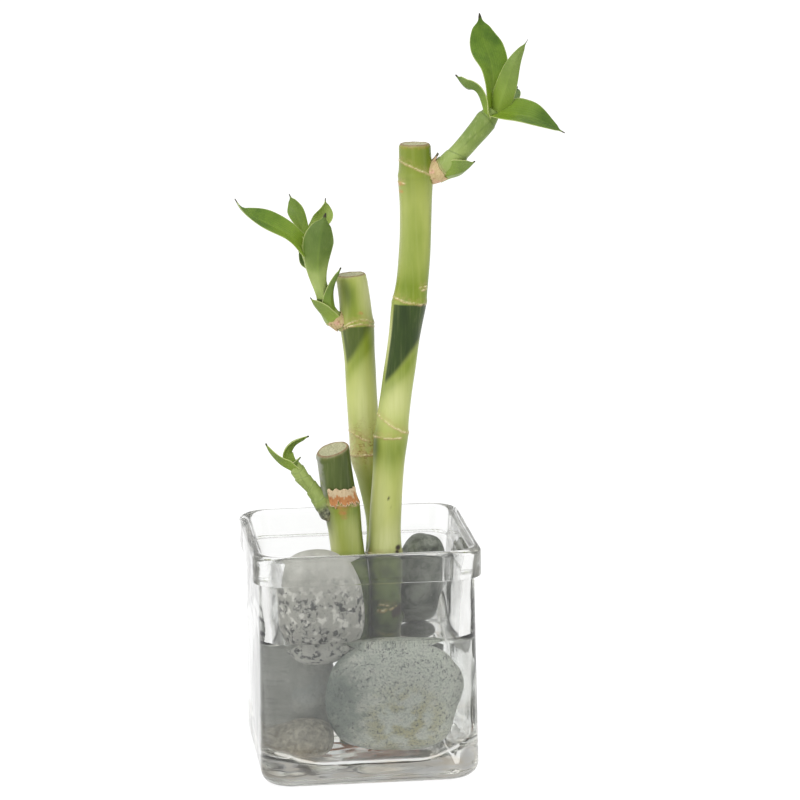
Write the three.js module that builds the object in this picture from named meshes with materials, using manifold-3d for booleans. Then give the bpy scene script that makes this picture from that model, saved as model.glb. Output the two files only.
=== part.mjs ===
// Lucky bamboo in a square pressed-glass vase, standing in water among pebbles.
// Millimetres, +Z up, origin at the middle of the vase's flat foot, the vase's front towards -Y.

import * as THREE from 'three';
import { mergeVertices } from 'three/addons/utils/BufferGeometryUtils.js';
import Module from 'manifold-3d';

const wasm = await Module();
wasm.setup();

// Vase: heights and half widths of the body, the raised collar, the mouth and the inside
const VASE = {
  height: 94,
  cornerSteps: 5,
  rimHalf: 45,
  rimCorner: 11.5,
  rimRound: 2.2,
  collarHeight: 11.5,
  collarStep: 0.5,
  collarRound: 1,
  bodyTopHalf: 42.5,
  bodyFootHalf: 43.25,
  bodyCorner: 10.5,
  footRound: 6.5,
  mouthHalf: 40.3,
  mouthFoot: 60,
  wall: 4.4,
  innerCorner: 9,
  floor: 6,
  floorHalf: 25,
  floorCorner: 19,
  floorRise: 12,
};
const WATER_LEVEL = 56.5;

// Gap between a piece and what carries it
const SEAT_GAP = 0.35;

// Canes: foot height, the raised ring at each node, how far a node's swelling reaches, the rounding of
// the cut top, and where sections stand: as shares of an internode, and below and above a node
const CANE = {
  foot: 9, ring: 0.3, ringReach: 1.2, flareUp: 5, flareDown: 20, sides: 14, cutRound: 0.8,
  between: [0.3, 0.6], belowNode: [9, 3.5], aboveNode: 4,
};
const CALLUS = { radius: 6.2, top: 8.65, foot: 6.35, round: 0.8 };
const ROOT = {
  count: 5, length: 13, shorter: 0.25, start: 3, radius: 0.8, tipRadius: 0.5, lift: 1.45, rise: 0.45,
  sway: 0.25, sides: 4, steps: 5,
};
const SHOOT = { sides: 10, steps: 10 };
const BLADE = { thickness: 0.75, across: 5, steps: 8, tipHalf: 0.4 };

const COLOUR = {
  glass: 0xdfe7e6,
  water: 0xcfdcda,
  granite: 0xb9b8b0,
  green: 0x8b9a92,
  dark: 0x5c625e,
  grey: 0x85857f,
  speckled: 0x9c917f,
  cane: 0x8fa24a,
  shoot: 0x9cb25c,
  leaf: 0x6f8f38,
  husk: 0xc99a66,
  root: 0xc9733a,
};

// Pebbles: middle, half lengths, turn in degrees, how blunt the left and the right side of the outline
// seen from the front are (2 is an ellipse), how lumpy the surface is and where its waves start
const STONES = {
  granite: {
    centre: [-18.6, -22.8, 69], half: [18, 13.8, 22.8], turn: [6, -4, 4], blunt: [2.5, 2.5], lump: 0.03,
    phase: 5,
  },
  green: {
    centre: [9.8, -24.3, 32.2], half: [26.5, 10.6, 24.4], turn: [14, 5, 0], blunt: [2.35, 3], lump: 0.015,
    phase: 4.2,
  },
  dark: {
    centre: [26.4, 26, 55.4], half: [10.8, 10.2, 29.6], turn: [0, 6.5, 0], blunt: [2.6, 3.4], lump: 0.02,
    phase: 3.3,
  },
  grey: {
    centre: [-24, 3, 30.6], half: [12.8, 18.5, 23.9], turn: [14, 0, 0], blunt: [2.4, 2.4], lump: 0.025,
    phase: 0.8,
  },
  speckled: {
    centre: [-25.2, -22.6, 16.2], half: [11.8, 10.8, 8.8], turn: [0, 0, 10], blunt: [2.3, 2.3], lump: 0.02,
    phase: 1.7,
  },
  small: {
    centre: [25.5, 23.6, 16.6], half: [7.7, 8.1, 9], turn: [0, 0, 30], blunt: [2, 2], lump: 0.03,
    phase: 0.9,
  },
};
const LUMPS = { acrossRight: 2.3, acrossBack: 2.9, up: 3.7, upShare: 0.6 };

// Canes: points of the middle line from the foot up, heights of the nodes, the diameter between
// nodes and at a node, and the slope of the cut top in degrees, to the right and to the back
const CANES = {
  tall: {
    line: [
      [10.3, 0, 9], [10.7, 0.3, 84], [11.4, 1, 101.5], [14.1, 1.5, 132.5], [16, 2, 146],
      [18.5, 2, 162], [22.2, 2.5, 185.5], [23.6, 3, 194], [25, 3.5, 210], [25.5, 4, 235.5],
      [25.4, 4.4, 248],
    ],
    nodes: [84.5, 132.5, 185.5, 235.5],
    diameter: 12.5,
    nodeDiameter: 13.9,
    slope: [0, 0],
  },
  middle: {
    line: [
      [12.6, 14.2, 9], [11.2, 14.5, 80], [11.1, 14.8, 94], [8, 15, 110.5], [6, 15, 119],
      [4.5, 15.5, 135.5], [3.5, 16.2, 160], [2.4, 16.6, 177], [1.8, 17, 185], [0.6, 17.5, 194.6],
    ],
    nodes: [80, 122, 175.5],
    diameter: 12.3,
    nodeDiameter: 13.8,
    slope: [4, 0],
  },
  short: {
    line: [
      [-2.8, 1, 9], [-3.1, -1.2, 69], [-4.2, -2, 83], [-4.9, -2.3, 90], [-7, -3, 106.5], [-8, -3.6, 111.5],
      [-10, -4.5, 128.3],
    ],
    nodes: [106.5],
    diameter: 13.3,
    nodeDiameter: 14.8,
    slope: [15, 11],
  },
};

// Side shoots: points of the middle line from the cane outwards, and the radius at each point
const SHOOTS = {
  tall: {
    line: [
      [29, 4, 235.6], [33.5, 3.6, 236.9], [38, 3, 239.7], [43.2, 2.5, 244.6], [48.8, 2, 251],
      [53.4, 1.5, 256.6], [56.4, 1, 261],
    ],
    radius: [4, 4.1, 4, 4, 4.2, 4.3, 3.2],
  },
  middle: {
    line: [
      [-2.6, 16, 174], [-6, 15.3, 177], [-10, 14.5, 183.4], [-12, 13.5, 191], [-14.5, 13, 198.5],
      [-17, 12.5, 205.5], [-18, 12.5, 208.5],
    ],
    radius: [3.1, 3, 2.8, 2.9, 3.2, 2.9, 2.2],
  },
  short: {
    line: [
      [-8, -3.5, 98.4], [-12.8, -4, 103.6], [-15.6, -4.2, 108.6], [-18.5, -4.5, 112.5],
      [-22, -5, 117], [-24.5, -5, 121], [-26, -5, 123.5],
    ],
    radius: [3.2, 3.9, 3.3, 2.7, 2.8, 2.7, 2.3],
  },
};

// Leaves and bracts: points along the midrib, full width, width of the foot and place of the widest
// part as shares, the way the upper face looks at foot and tip, and the fold's angle there
const BLADES = {
  tall: [
    {
      name: 'tall_leaf_upper',
      rib: [[55.5, 1.5, 259], [56.5, 3, 271.8], [56, 6, 279.6], [53.5, 8, 288.3], [52, 8, 298.3]],
      width: 13.6, foot: 0.85, widest: 0.62, face: [[1, -1, 0.1], [-0.5, -1, 0.1]], fold: [30, 8],
    },
    {
      name: 'tall_leaf_right',
      rib: [[57.5, 0, 259.5], [60.4, -2.4, 269], [64.1, -3.4, 279.8], [69.8, -2, 288.6]],
      width: 9.8, foot: 0.7, widest: 0.22, face: [[0.4, 1, 0.2], [0.1, 1, 0.2]], fold: [32, 16],
    },
    {
      name: 'tall_leaf_left',
      rib: [[53.5, -0.5, 257.5], [49.4, -1.2, 268.6], [45, -0.2, 270.8], [41.8, 4, 274.7]],
      width: 7.3, foot: 0.7, widest: 0.64, face: [[4, 0.4, 0.3], [1.1, 0.8, 0.7]], fold: [35, 18],
    },
    {
      name: 'tall_leaf_low',
      rib: [[57.6, 0, 259.8], [64.4, -5, 259.2], [70.4, -9, 258.4], [82.6, -12, 252.6]],
      width: 16.6, foot: 0.7, widest: 0.24, face: [[0.2, -0.7, 0.7], [0.4, -0.6, 0.8]], fold: [28, 10],
    },
    {
      name: 'tall_leaf_back',
      rib: [[57.5, 3, 258.5], [64.8, 12, 263], [69, 22, 267.2]],
      width: 7.5, foot: 0.6, widest: 0.5, face: [[-0.3, -0.5, 0.8], [-0.2, -0.6, 0.8]], fold: [28, 12],
    },
    {
      name: 'tall_bract',
      rib: [[34.3, 1, 235.1], [44, -0.9, 237.4], [48.6, -1, 241]],
      width: 11.5, foot: 1, widest: 0.7, face: [[0.8, 0.8, 0.6], [-1.2, 0.7, 0.7]], fold: [36, 24],
    },
  ],
  middle: [
    {
      name: 'middle_leaf_long',
      rib: [[-17.5, 12, 205.5], [-25.4, 10, 212.6], [-42.5, 9, 222.6], [-45.5, 12, 227]],
      width: 12.5, foot: 0.75, widest: 0.55, face: [[-0.4, -0.6, 0.7], [1.7, -0.6, 0.8]], fold: [32, 12],
    },
    {
      name: 'middle_leaf_upright',
      rib: [[-17.5, 13.5, 207.5], [-19.9, 17, 216.6], [-21.4, 19, 222.7], [-23.3, 20, 227.2]],
      width: 7, foot: 0.9, widest: 0.66, face: [[1.8, -1, 0], [-1.4, -1, 0.2]], fold: [30, 10],
    },
    {
      name: 'middle_leaf_front',
      rib: [[-11.2, 10.2, 186], [-13.3, 8.8, 197], [-12.9, 6.2, 209], [-9.9, 8, 221]],
      width: 13.8, foot: 0.45, widest: 0.66, face: [[-0.1, 1, 0.1], [0, 1, 0.2]], fold: [40, 18],
    },
    {
      name: 'middle_leaf_back',
      rib: [[-16, 14, 207.5], [-10.3, 17.5, 215.5], [-9, 18, 225.4]],
      width: 11.6, foot: 0.5, widest: 0.34, face: [[-3, -0.9, 0.1], [1.1, -0.9, 0.2]], fold: [30, 14],
    },
    {
      name: 'middle_leaf_small',
      rib: [[-14.5, 14.5, 196], [-18.4, 18, 199.2], [-19.8, 21, 204]],
      width: 5.5, foot: 0.7, widest: 0.4, face: [[0.5, -0.6, 0.6], [0.5, -0.6, 0.6]], fold: [34, 20],
    },
    {
      name: 'middle_bract_right',
      rib: [[-6.5, 13, 177], [-8.5, 10.6, 184.5], [-7.5, 10, 191], [-4, 10.5, 198.5]],
      width: 6.5, foot: 0.8, widest: 0.3, face: [[-0.5, 0.9, 0], [-0.6, 0.6, 0.2]], fold: [34, 20],
    },
    {
      name: 'middle_bract_left',
      rib: [[-7.5, 13, 175], [-13.9, 11.3, 182.7], [-16.4, 11, 186.7]],
      width: 9.9, foot: 0.95, widest: 0.47, face: [[0.3, 0.7, 0.5], [1.3, 0.6, 0.5]], fold: [34, 22],
    },
  ],
  short: [
    {
      name: 'short_leaf_long',
      rib: [[-25, -5.5, 119.5], [-31, -6.5, 123.5], [-35.2, -7, 128.6], [-36.7, -6, 131.8]],
      width: 8.5, foot: 0.8, widest: 0.3, face: [[0.5, 0.4, 0.8], [0.6, 0.3, 0.7]], fold: [38, 24],
    },
    {
      name: 'short_leaf_upright',
      rib: [[-26.6, -4.8, 122.3], [-29, -4, 127.4], [-26.2, -3, 131], [-19.2, -3, 133.5]],
      width: 7.4, foot: 0.8, widest: 0.35, face: [[0.8, -0.5, -0.2], [0.2, -0.6, -0.8]], fold: [32, 18],
    },
    {
      name: 'short_bract',
      rib: [[-25, -5.6, 121.4], [-24.8, -8, 124], [-23.2, -9, 126.4]],
      width: 3.2, foot: 0.9, widest: 0.3, face: [[-0.5, 0.7, 0.5], [-0.5, 0.7, 0.5]], fold: [26, 16],
    },
  ],
};

// Husks: torn dry sheaths at the foot of each side shoot. On the short cane it goes round the cane
// itself, elsewhere round the shoot. The angle where each starts and ends, how far along it reaches
// as heights on a cane or as shares of a shoot, and how far its torn edges wander
const HUSKS = {
  tall: { round: 'shoot', from: -100, to: 110, low: 0.08, high: 0.25, ragged: 0.03 },
  middle: { round: 'shoot', from: -100, to: 100, low: 0.08, high: 0.2, ragged: 0.03 },
  short: { round: 'cane', from: -38, to: 62, low: 106.6, high: 114.2, ragged: 1.5 },
};
const HUSK = { steps: 12, levels: 3, thickness: 0.75, flare: 0.35, turnPerGap: 15, clearance: 1 };

const toVector = (p) => new THREE.Vector3(p[0], p[1], p[2]);
const mix = (a, b, t) => a + (b - a) * t;
const clamp01 = (t) => Math.min(1, Math.max(0, t));
const smooth = (t) => t * t * (3 - 2 * t);
const radians = THREE.MathUtils.degToRad;
const endShift = (t, grow) => (t === 0 ? -grow : 0) + (t === 1 ? grow : 0);
const steps = (count) => Array.from({ length: count + 1 }, (_, i) => i / count);

// A closed body through sections with the same, even number of points, each end closed by a strip.
// The quads of the second half of each section are split the other way, so the two faces of a thin
// blade are cut into triangles alike.
function loft(sections) {
  const count = sections[0].length;
  const positions = sections.flat().flatMap((p) => [p.x, p.y, p.z]);
  const indices = [];
  for (let i = 0; i + 1 < sections.length; i += 1) {
    for (let j = 0; j < count; j += 1) {
      const a = i * count + j;
      const b = i * count + ((j + 1) % count);
      const c = a + count;
      const d = b + count;
      if (j < count / 2) indices.push(a, b, d, a, d, c);
      else indices.push(a, b, c, b, d, c);
    }
  }
  const last = (sections.length - 1) * count;
  for (let j = 0; j + 1 < count / 2; j += 1) {
    const [a, b, c, d] = [j, j + 1, count - 2 - j, count - 1 - j];
    indices.push(a, c, b, a, d, c);
    indices.push(last + a, last + b, last + c, last + a, last + c, last + d);
  }
  const geometry = new THREE.BufferGeometry();
  geometry.setAttribute('position', new THREE.Float32BufferAttribute(positions, 3));
  geometry.setIndex(indices);
  return geometry;
}

// A closed geometry as a solid that can be joined and cut, with its faces pointing out.
function toSolid(geometry) {
  const bare = geometry.clone();
  bare.deleteAttribute('normal');
  bare.deleteAttribute('uv');
  const merged = mergeVertices(bare, 1e-4);
  const vertProperties = Float32Array.from(merged.attributes.position.array);
  const triVerts = Uint32Array.from(merged.index.array);
  const solid = new wasm.Manifold(new wasm.Mesh({ numProp: 3, vertProperties, triVerts }));
  if (solid.volume() > 0) return solid;
  return new wasm.Manifold(new wasm.Mesh({ numProp: 3, vertProperties, triVerts: triVerts.reverse() }));
}

function toGeometry(solid) {
  const mesh = solid.getMesh();
  const geometry = new THREE.BufferGeometry();
  geometry.setAttribute('position', new THREE.Float32BufferAttribute(mesh.vertProperties, 3));
  geometry.setIndex(Array.from(mesh.triVerts));
  return geometry;
}

// A solid cut back by its neighbours, without the scraps that the cuts leave loose.
function trimmed(solid, neighbours) {
  const cut = neighbours.reduce((left, other) => left.subtract(other), solid);
  return cut.decompose().reduce((best, piece) => (piece.volume() > best.volume() ? piece : best));
}

// A smooth line through points, with its point at a share of its length and at a height.
function smoothLine(points) {
  const curve = new THREE.CatmullRomCurve3(points.map(toVector), false, 'centripetal');
  const samples = curve.getPoints(points.length * 24);
  const atHeight = (z) => {
    const next = samples.findIndex((p) => p.z >= z);
    if (next <= 0) return (next === 0 ? samples[0] : samples[samples.length - 1]).clone().setZ(z);
    const [low, high] = [samples[next - 1], samples[next]];
    return low.clone().lerp(high, (z - low.z) / (high.z - low.z));
  };
  return { curve, atHeight };
}

// The value between those that a list gives at equal steps.
function between(list, t) {
  const place = clamp01(t) * (list.length - 1);
  const index = Math.min(list.length - 2, Math.floor(place));
  return mix(list[index], list[index + 1], place - index);
}

// The vase

function roundedSquare(half, corner, z) {
  const points = [];
  for (let quarter = 0; quarter < 4; quarter += 1) {
    const middle = (quarter + 0.5) * (Math.PI / 2);
    const cx = Math.sign(Math.cos(middle)) * (half - corner);
    const cy = Math.sign(Math.sin(middle)) * (half - corner);
    steps(VASE.cornerSteps).forEach((t) => {
      const angle = (quarter + t) * (Math.PI / 2);
      points.push(new THREE.Vector3(cx + corner * Math.cos(angle), cy + corner * Math.sin(angle), z));
    });
  }
  return points;
}

// Half width of the inside at a height: a bowl-like floor, straight walls and a wider mouth.
function innerHalf(z) {
  const wallHalf = VASE.bodyTopHalf - VASE.wall;
  const bowlTop = VASE.floor + VASE.floorRise;
  if (z < bowlTop) {
    const drop = (bowlTop - z) / VASE.floorRise;
    return mix(VASE.floorHalf, wallHalf, Math.sqrt(Math.max(0, 1 - drop * drop)));
  }
  const share = clamp01((z - VASE.mouthFoot) / (VASE.height - VASE.rimRound - VASE.mouthFoot));
  return mix(wallHalf, VASE.mouthHalf, share ** 1.5);
}

// Corner radius of the inside at a height: round at the floor, tighter up the walls.
function innerCorner(z) {
  const wallHalf = VASE.bodyTopHalf - VASE.wall;
  const share = clamp01((innerHalf(z) - VASE.floorHalf) / (wallHalf - VASE.floorHalf));
  return mix(VASE.floorCorner, VASE.innerCorner, share);
}

// Height of the vase's floor at a place.
function floorAt(x, y) {
  const inside = (z) => {
    const [half, corner] = [innerHalf(z), innerCorner(z)];
    const over = [x, y].map((v) => Math.max(0, Math.abs(v) - (half - corner)));
    return Math.hypot(...over) <= corner;
  };
  let [low, high] = [VASE.floor, VASE.floor + VASE.floorRise];
  if (inside(low)) return low;
  for (let i = 0; i < 20; i += 1) {
    const z = (low + high) / 2;
    if (inside(z)) high = z;
    else low = z;
  }
  return high;
}

const bowlHeights = steps(6).map((t) => VASE.floor + VASE.floorRise * (1 - Math.cos((t * Math.PI) / 2)));

function vaseSolid() {
  const rings = [];
  const add = (half, corner, z) => rings.push(roundedSquare(half, corner, z));
  steps(4).forEach((t) => {
    const angle = (t * Math.PI) / 2;
    const inset = VASE.footRound * (1 - Math.sin(angle));
    add(VASE.bodyFootHalf - inset, VASE.bodyCorner - inset / 2, VASE.footRound * (1 - Math.cos(angle)));
  });
  const collarFoot = VASE.height - VASE.collarHeight;
  add(VASE.bodyTopHalf, VASE.bodyCorner, collarFoot - VASE.collarStep);
  add(VASE.rimHalf - VASE.collarRound, VASE.rimCorner, collarFoot);
  add(VASE.rimHalf, VASE.rimCorner, collarFoot + VASE.collarRound);
  const lipMiddle = (VASE.rimHalf + VASE.mouthHalf) / 2;
  const lipHalf = (VASE.rimHalf - VASE.mouthHalf) / 2;
  steps(6).forEach((t) => {
    const angle = t * Math.PI;
    const z = VASE.height - VASE.rimRound * (1 - Math.sin(angle));
    add(lipMiddle + lipHalf * Math.cos(angle), mix(VASE.rimCorner, VASE.innerCorner, t), z);
  });
  const mouthTop = VASE.height - VASE.rimRound;
  steps(3).slice(1).forEach((t) => {
    const z = mix(mouthTop, VASE.mouthFoot, t);
    add(innerHalf(z), VASE.innerCorner, z);
  });
  [...bowlHeights].reverse().forEach((z) => add(innerHalf(z), innerCorner(z), z));
  return toSolid(loft(rings));
}

// The water's block, before the pebbles, canes and roots are cut out of it.
function waterBlock() {
  const rings = bowlHeights.map((z) => (
    roundedSquare(innerHalf(z) - SEAT_GAP, innerCorner(z), z + SEAT_GAP)
  ));
  rings.push(roundedSquare(innerHalf(WATER_LEVEL) - SEAT_GAP, VASE.innerCorner, WATER_LEVEL));
  return toSolid(loft(rings));
}

// The pebbles

function pebble(spec, grow = 0) {
  const geometry = new THREE.IcosahedronGeometry(1, 3);
  const position = geometry.attributes.position;
  const turn = new THREE.Euler(...spec.turn.map(radians));
  const point = new THREE.Vector3();
  const half = toVector(spec.half);
  for (let i = 0; i < position.count; i += 1) {
    point.fromBufferAttribute(position, i).normalize();
    const waves = Math.sin(LUMPS.acrossRight * point.x + spec.phase)
      * Math.sin(LUMPS.acrossBack * point.y + 2 * spec.phase)
      + LUMPS.upShare * Math.sin(LUMPS.up * point.z + 3 * spec.phase);
    const blunt = spec.blunt[point.x < 0 ? 0 : 1];
    const outline = Math.abs(point.x) ** blunt + Math.abs(point.z) ** blunt;
    const reach = Math.sqrt(outline ** (2 / blunt) + point.y ** 2);
    const swell = (1 + spec.lump * waves) / reach;
    const size = half.clone().multiplyScalar(swell).addScalar(grow);
    point.multiply(size).applyEuler(turn).add(toVector(spec.centre));
    position.setXYZ(i, point.x, point.y, point.z);
  }
  return toSolid(geometry);
}

// The canes

function caneRadius(spec, z) {
  const swell = spec.nodes.map((node) => {
    const away = z - node;
    const below = smooth(clamp01(1 + away / CANE.flareDown)) ** 2;
    const flare = away >= 0 ? Math.exp(-away / CANE.flareUp) : below;
    const ring = CANE.ring * Math.max(0, 1 - (away / CANE.ringReach) ** 2);
    return ((spec.nodeDiameter - spec.diameter) / 2) * flare + ring;
  });
  return spec.diameter / 2 + Math.max(...swell);
}

function circle(centre, side, up, radius, sides) {
  return steps(sides).slice(0, sides).map((t) => {
    const angle = t * 2 * Math.PI;
    return centre.clone()
      .addScaledVector(side, radius * Math.cos(angle))
      .addScaledVector(up, radius * Math.sin(angle));
  });
}

// A cane's skin: the point at a height and at an angle from the right towards the back, and how many
// millimetres one step along it is.
function caneSkin(spec) {
  const line = smoothLine(spec.line);
  const skin = (z, angle, offset) => {
    const radius = caneRadius(spec, z) + offset;
    return line.atHeight(z).add(new THREE.Vector3(radius * Math.cos(angle), radius * Math.sin(angle), 0));
  };
  return { skin, unit: 1 };
}

function caneHeights(spec, top) {
  const heights = spec.nodes.flatMap((node, i) => {
    const below = i === 0 ? CANE.foot : spec.nodes[i - 1];
    return [
      ...CANE.between.map((share) => mix(below, node, share)),
      ...CANE.belowNode.map((drop) => node - drop),
      node - CANE.ringReach,
      node,
      node + CANE.ringReach,
      node + CANE.aboveNode,
    ];
  });
  return [CANE.foot, ...heights].filter((z) => z < top - CANE.belowNode[1]).sort((a, b) => a - b);
}

function cane(spec, grow = 0) {
  const line = smoothLine(spec.line);
  const top = spec.line[spec.line.length - 1][2];
  const right = new THREE.Vector3(1, 0, 0);
  const back = new THREE.Vector3(0, 1, 0);
  const [slopeRight, slopeBack] = spec.slope.map((angle) => Math.tan(radians(angle)));
  const sections = caneHeights(spec, top).map((z) => {
    const height = z === CANE.foot ? z - grow : z;
    return circle(line.atHeight(height), right, back, caneRadius(spec, z) + grow, CANE.sides);
  });
  const centre = line.atHeight(top);
  [[CANE.cutRound, 0], [0, CANE.cutRound]].forEach(([drop, inset]) => {
    const ring = circle(centre, right, back, caneRadius(spec, top) - inset + grow, CANE.sides);
    ring.forEach((p) => {
      p.z += slopeRight * (p.x - centre.x) + slopeBack * (p.y - centre.y) - drop + grow;
    });
    sections.push(ring);
  });
  return toSolid(loft(sections));
}

// The roots: a callus under the cane's foot, and root strands spreading over the floor

function rootStrand(foot, turn, length, grow) {
  const points = steps(3).map((t) => {
    const reach = mix(ROOT.start, CALLUS.radius + length, t);
    const angle = turn + ROOT.sway * Math.sin(1.6 * t * Math.PI + 3 * turn);
    const rise = ROOT.rise * Math.sin(t * Math.PI);
    const x = foot.x + reach * Math.cos(angle);
    const y = foot.y + reach * Math.sin(angle);
    return [x, y, floorAt(x, y) + ROOT.lift + rise];
  });
  const line = smoothLine(points).curve;
  const up = new THREE.Vector3(0, 0, 1);
  const sections = steps(ROOT.steps).map((t) => {
    const tangent = line.getTangent(t);
    const side = new THREE.Vector3().crossVectors(tangent, up).normalize();
    const radius = mix(ROOT.radius, ROOT.tipRadius, t) + grow / Math.cos(Math.PI / ROOT.sides);
    const centre = line.getPoint(t).addScaledVector(tangent, endShift(t, grow));
    return circle(centre, side, side.clone().cross(tangent), radius, ROOT.sides);
  });
  return toSolid(loft(sections));
}

function roots(spec, grow = 0) {
  const foot = toVector(spec.line[0]);
  const right = new THREE.Vector3(1, 0, 0);
  const back = new THREE.Vector3(0, 1, 0);
  const disc = [[CALLUS.foot - grow, CALLUS.round], [CALLUS.foot + CALLUS.round, 0], [CALLUS.top + grow, 0]];
  const callus = toSolid(loft(disc.map(([z, inset]) => (
    circle(foot.clone().setZ(z), right, back, CALLUS.radius - inset + grow, CANE.sides)
  ))));
  return steps(ROOT.count).slice(1).reduce((whole, t, i) => {
    const length = ROOT.length * (1 - ROOT.shorter * (1 - Math.cos(2.4 * i)));
    return whole.add(rootStrand(foot, t * 2 * Math.PI + 0.3 * foot.x, length, grow));
  }, callus);
}

// The side shoots

// A shoot's skin: the point at a share of its length and at an angle round it, and its length.
function shootSkin(spec) {
  const line = smoothLine(spec.line).curve;
  const back = new THREE.Vector3(0, 1, 0);
  const skin = (t, angle, offset) => {
    const tangent = line.getTangent(t);
    const side = new THREE.Vector3().crossVectors(back, tangent).normalize();
    const lift = new THREE.Vector3().crossVectors(tangent, side);
    const radius = between(spec.radius, t) + offset;
    return line.getPoint(t)
      .addScaledVector(tangent, endShift(t, offset))
      .addScaledVector(side, radius * Math.cos(angle))
      .addScaledVector(lift, radius * Math.sin(angle));
  };
  return { skin, unit: line.getLength() };
}

function shoot(spec, grow = 0) {
  const { skin } = shootSkin(spec);
  const sections = steps(SHOOT.steps).map((t) => (
    steps(SHOOT.sides).slice(1).map((u) => skin(t, 2 * Math.PI * u, grow))
  ));
  return toSolid(loft(sections));
}

// The leaves and bracts

function bladeWidth(spec, t) {
  if (t < spec.widest) return mix(spec.foot, 1, smooth(t / spec.widest));
  const share = (t - spec.widest) / (1 - spec.widest);
  return (1 - share ** 1.8) ** 1.1;
}

function blade(spec, grow = 0) {
  const line = smoothLine(spec.rib).curve;
  const faces = spec.face.map(toVector);
  const sections = steps(BLADE.steps).map((t) => {
    const tangent = line.getTangentAt(t);
    const centre = line.getPointAt(t).addScaledVector(tangent, endShift(t, grow));
    const face = faces[0].clone().lerp(faces[1], t);
    const side = new THREE.Vector3().crossVectors(tangent, face).normalize();
    const up = side.clone().cross(tangent).normalize();
    const half = Math.max(BLADE.tipHalf, (spec.width / 2) * bladeWidth(spec, t)) + grow;
    const fold = radians(mix(spec.fold[0], spec.fold[1], t));
    const across = steps(BLADE.across - 1).map((u) => 2 * u - 1);
    const place = (share, lift) => centre.clone()
      .addScaledVector(side, share * half * Math.cos(fold))
      .addScaledVector(up, Math.abs(share) * half * Math.sin(fold) + lift);
    const skin = BLADE.thickness / 2 + grow;
    return [
      ...across.map((share) => place(share, skin)),
      ...across.reverse().map((share) => place(share, -skin)),
    ];
  });
  return toSolid(loft(sections));
}

// The husks

function husk(spec, limb, grow = 0) {
  const endTurn = grow * HUSK.turnPerGap;
  const endReach = grow / limb.unit;
  const sections = steps(HUSK.steps).map((t) => {
    const angle = radians(mix(spec.from - endTurn, spec.to + endTurn, t) - 90);
    const tear = Math.sin(9 * t * Math.PI) + 0.6 * Math.sin(23 * t + 1);
    const low = spec.low - 0.4 * spec.ragged * Math.cos(14 * t) - endReach;
    const high = spec.high + 0.5 * spec.ragged * tear + endReach;
    const levels = steps(HUSK.levels - 1);
    const skin = (share, offset) => limb.skin(mix(low, high, share), angle, offset + HUSK.flare * share ** 2);
    return [
      ...levels.map((share) => skin(share, SEAT_GAP + HUSK.thickness + grow)),
      ...levels.reverse().map((share) => skin(share, SEAT_GAP - grow)),
    ];
  });
  return toSolid(loft(sections));
}

// The whole plant in its vase

const group = new THREE.Group();

function addPiece(name, solid, color, finish = {}) {
  const material = new THREE.MeshStandardMaterial({ color, roughness: 0.55, metalness: 0, ...finish });
  const mesh = new THREE.Mesh(toGeometry(solid), material);
  mesh.name = name;
  group.add(mesh);
}

const clearFinish = { roughness: 0.05, transparent: true, opacity: 0.35 };
addPiece('vase', vaseSolid(), COLOUR.glass, clearFinish);

const inWater = [];
Object.entries(STONES).forEach(([name, spec]) => {
  addPiece(`stone_${name}`, pebble(spec), COLOUR[name] ?? COLOUR.grey, { roughness: 0.8 });
  inWater.push(pebble(spec, SEAT_GAP));
});

const stones = [...inWater];
const caneNames = Object.keys(CANES);
const grownCanes = Object.fromEntries(caneNames.map((name) => [name, cane(CANES[name], SEAT_GAP)]));
const grownRoots = [];
caneNames.forEach((name) => {
  addPiece(`cane_${name}`, cane(CANES[name]), COLOUR.cane, { roughness: 0.45 });
  const others = caneNames.filter((other) => other !== name).map((other) => grownCanes[other]);
  const clear = [...stones, ...others, ...grownRoots];
  addPiece(`roots_${name}`, trimmed(roots(CANES[name]), clear), COLOUR.root, { roughness: 0.7 });
  grownRoots.push(roots(CANES[name], SEAT_GAP));
});
inWater.push(...Object.values(grownCanes), ...grownRoots);

caneNames.forEach((name) => {
  const grown = [grownCanes[name]];
  addPiece(`shoot_${name}`, trimmed(shoot(SHOOTS[name]), grown), COLOUR.shoot);
  grown.push(shoot(SHOOTS[name], SEAT_GAP));
  const limb = HUSKS[name].round === 'cane' ? caneSkin(CANES[name]) : shootSkin(SHOOTS[name]);
  addPiece(`husk_${name}`, trimmed(husk(HUSKS[name], limb), grown), COLOUR.husk, { roughness: 0.85 });
  grown.push(husk(HUSKS[name], limb, HUSK.clearance));
  BLADES[name].forEach((spec) => {
    addPiece(spec.name, trimmed(blade(spec), grown), COLOUR.leaf, { roughness: 0.4 });
    grown.push(blade(spec, SEAT_GAP));
  });
});

addPiece('water', trimmed(waterBlock(), inWater), COLOUR.water, clearFinish);

export default group;
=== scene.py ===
"""Lucky bamboo in a square pressed-glass vase: finer pieces for each part, and a plain studio."""

from math import copysign, cos, exp, hypot, pi, radians, sin, sqrt, tan
from types import SimpleNamespace as Spec

import bmesh
import bpy
import numpy as np
from mathutils import Matrix, Vector, noise


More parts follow.
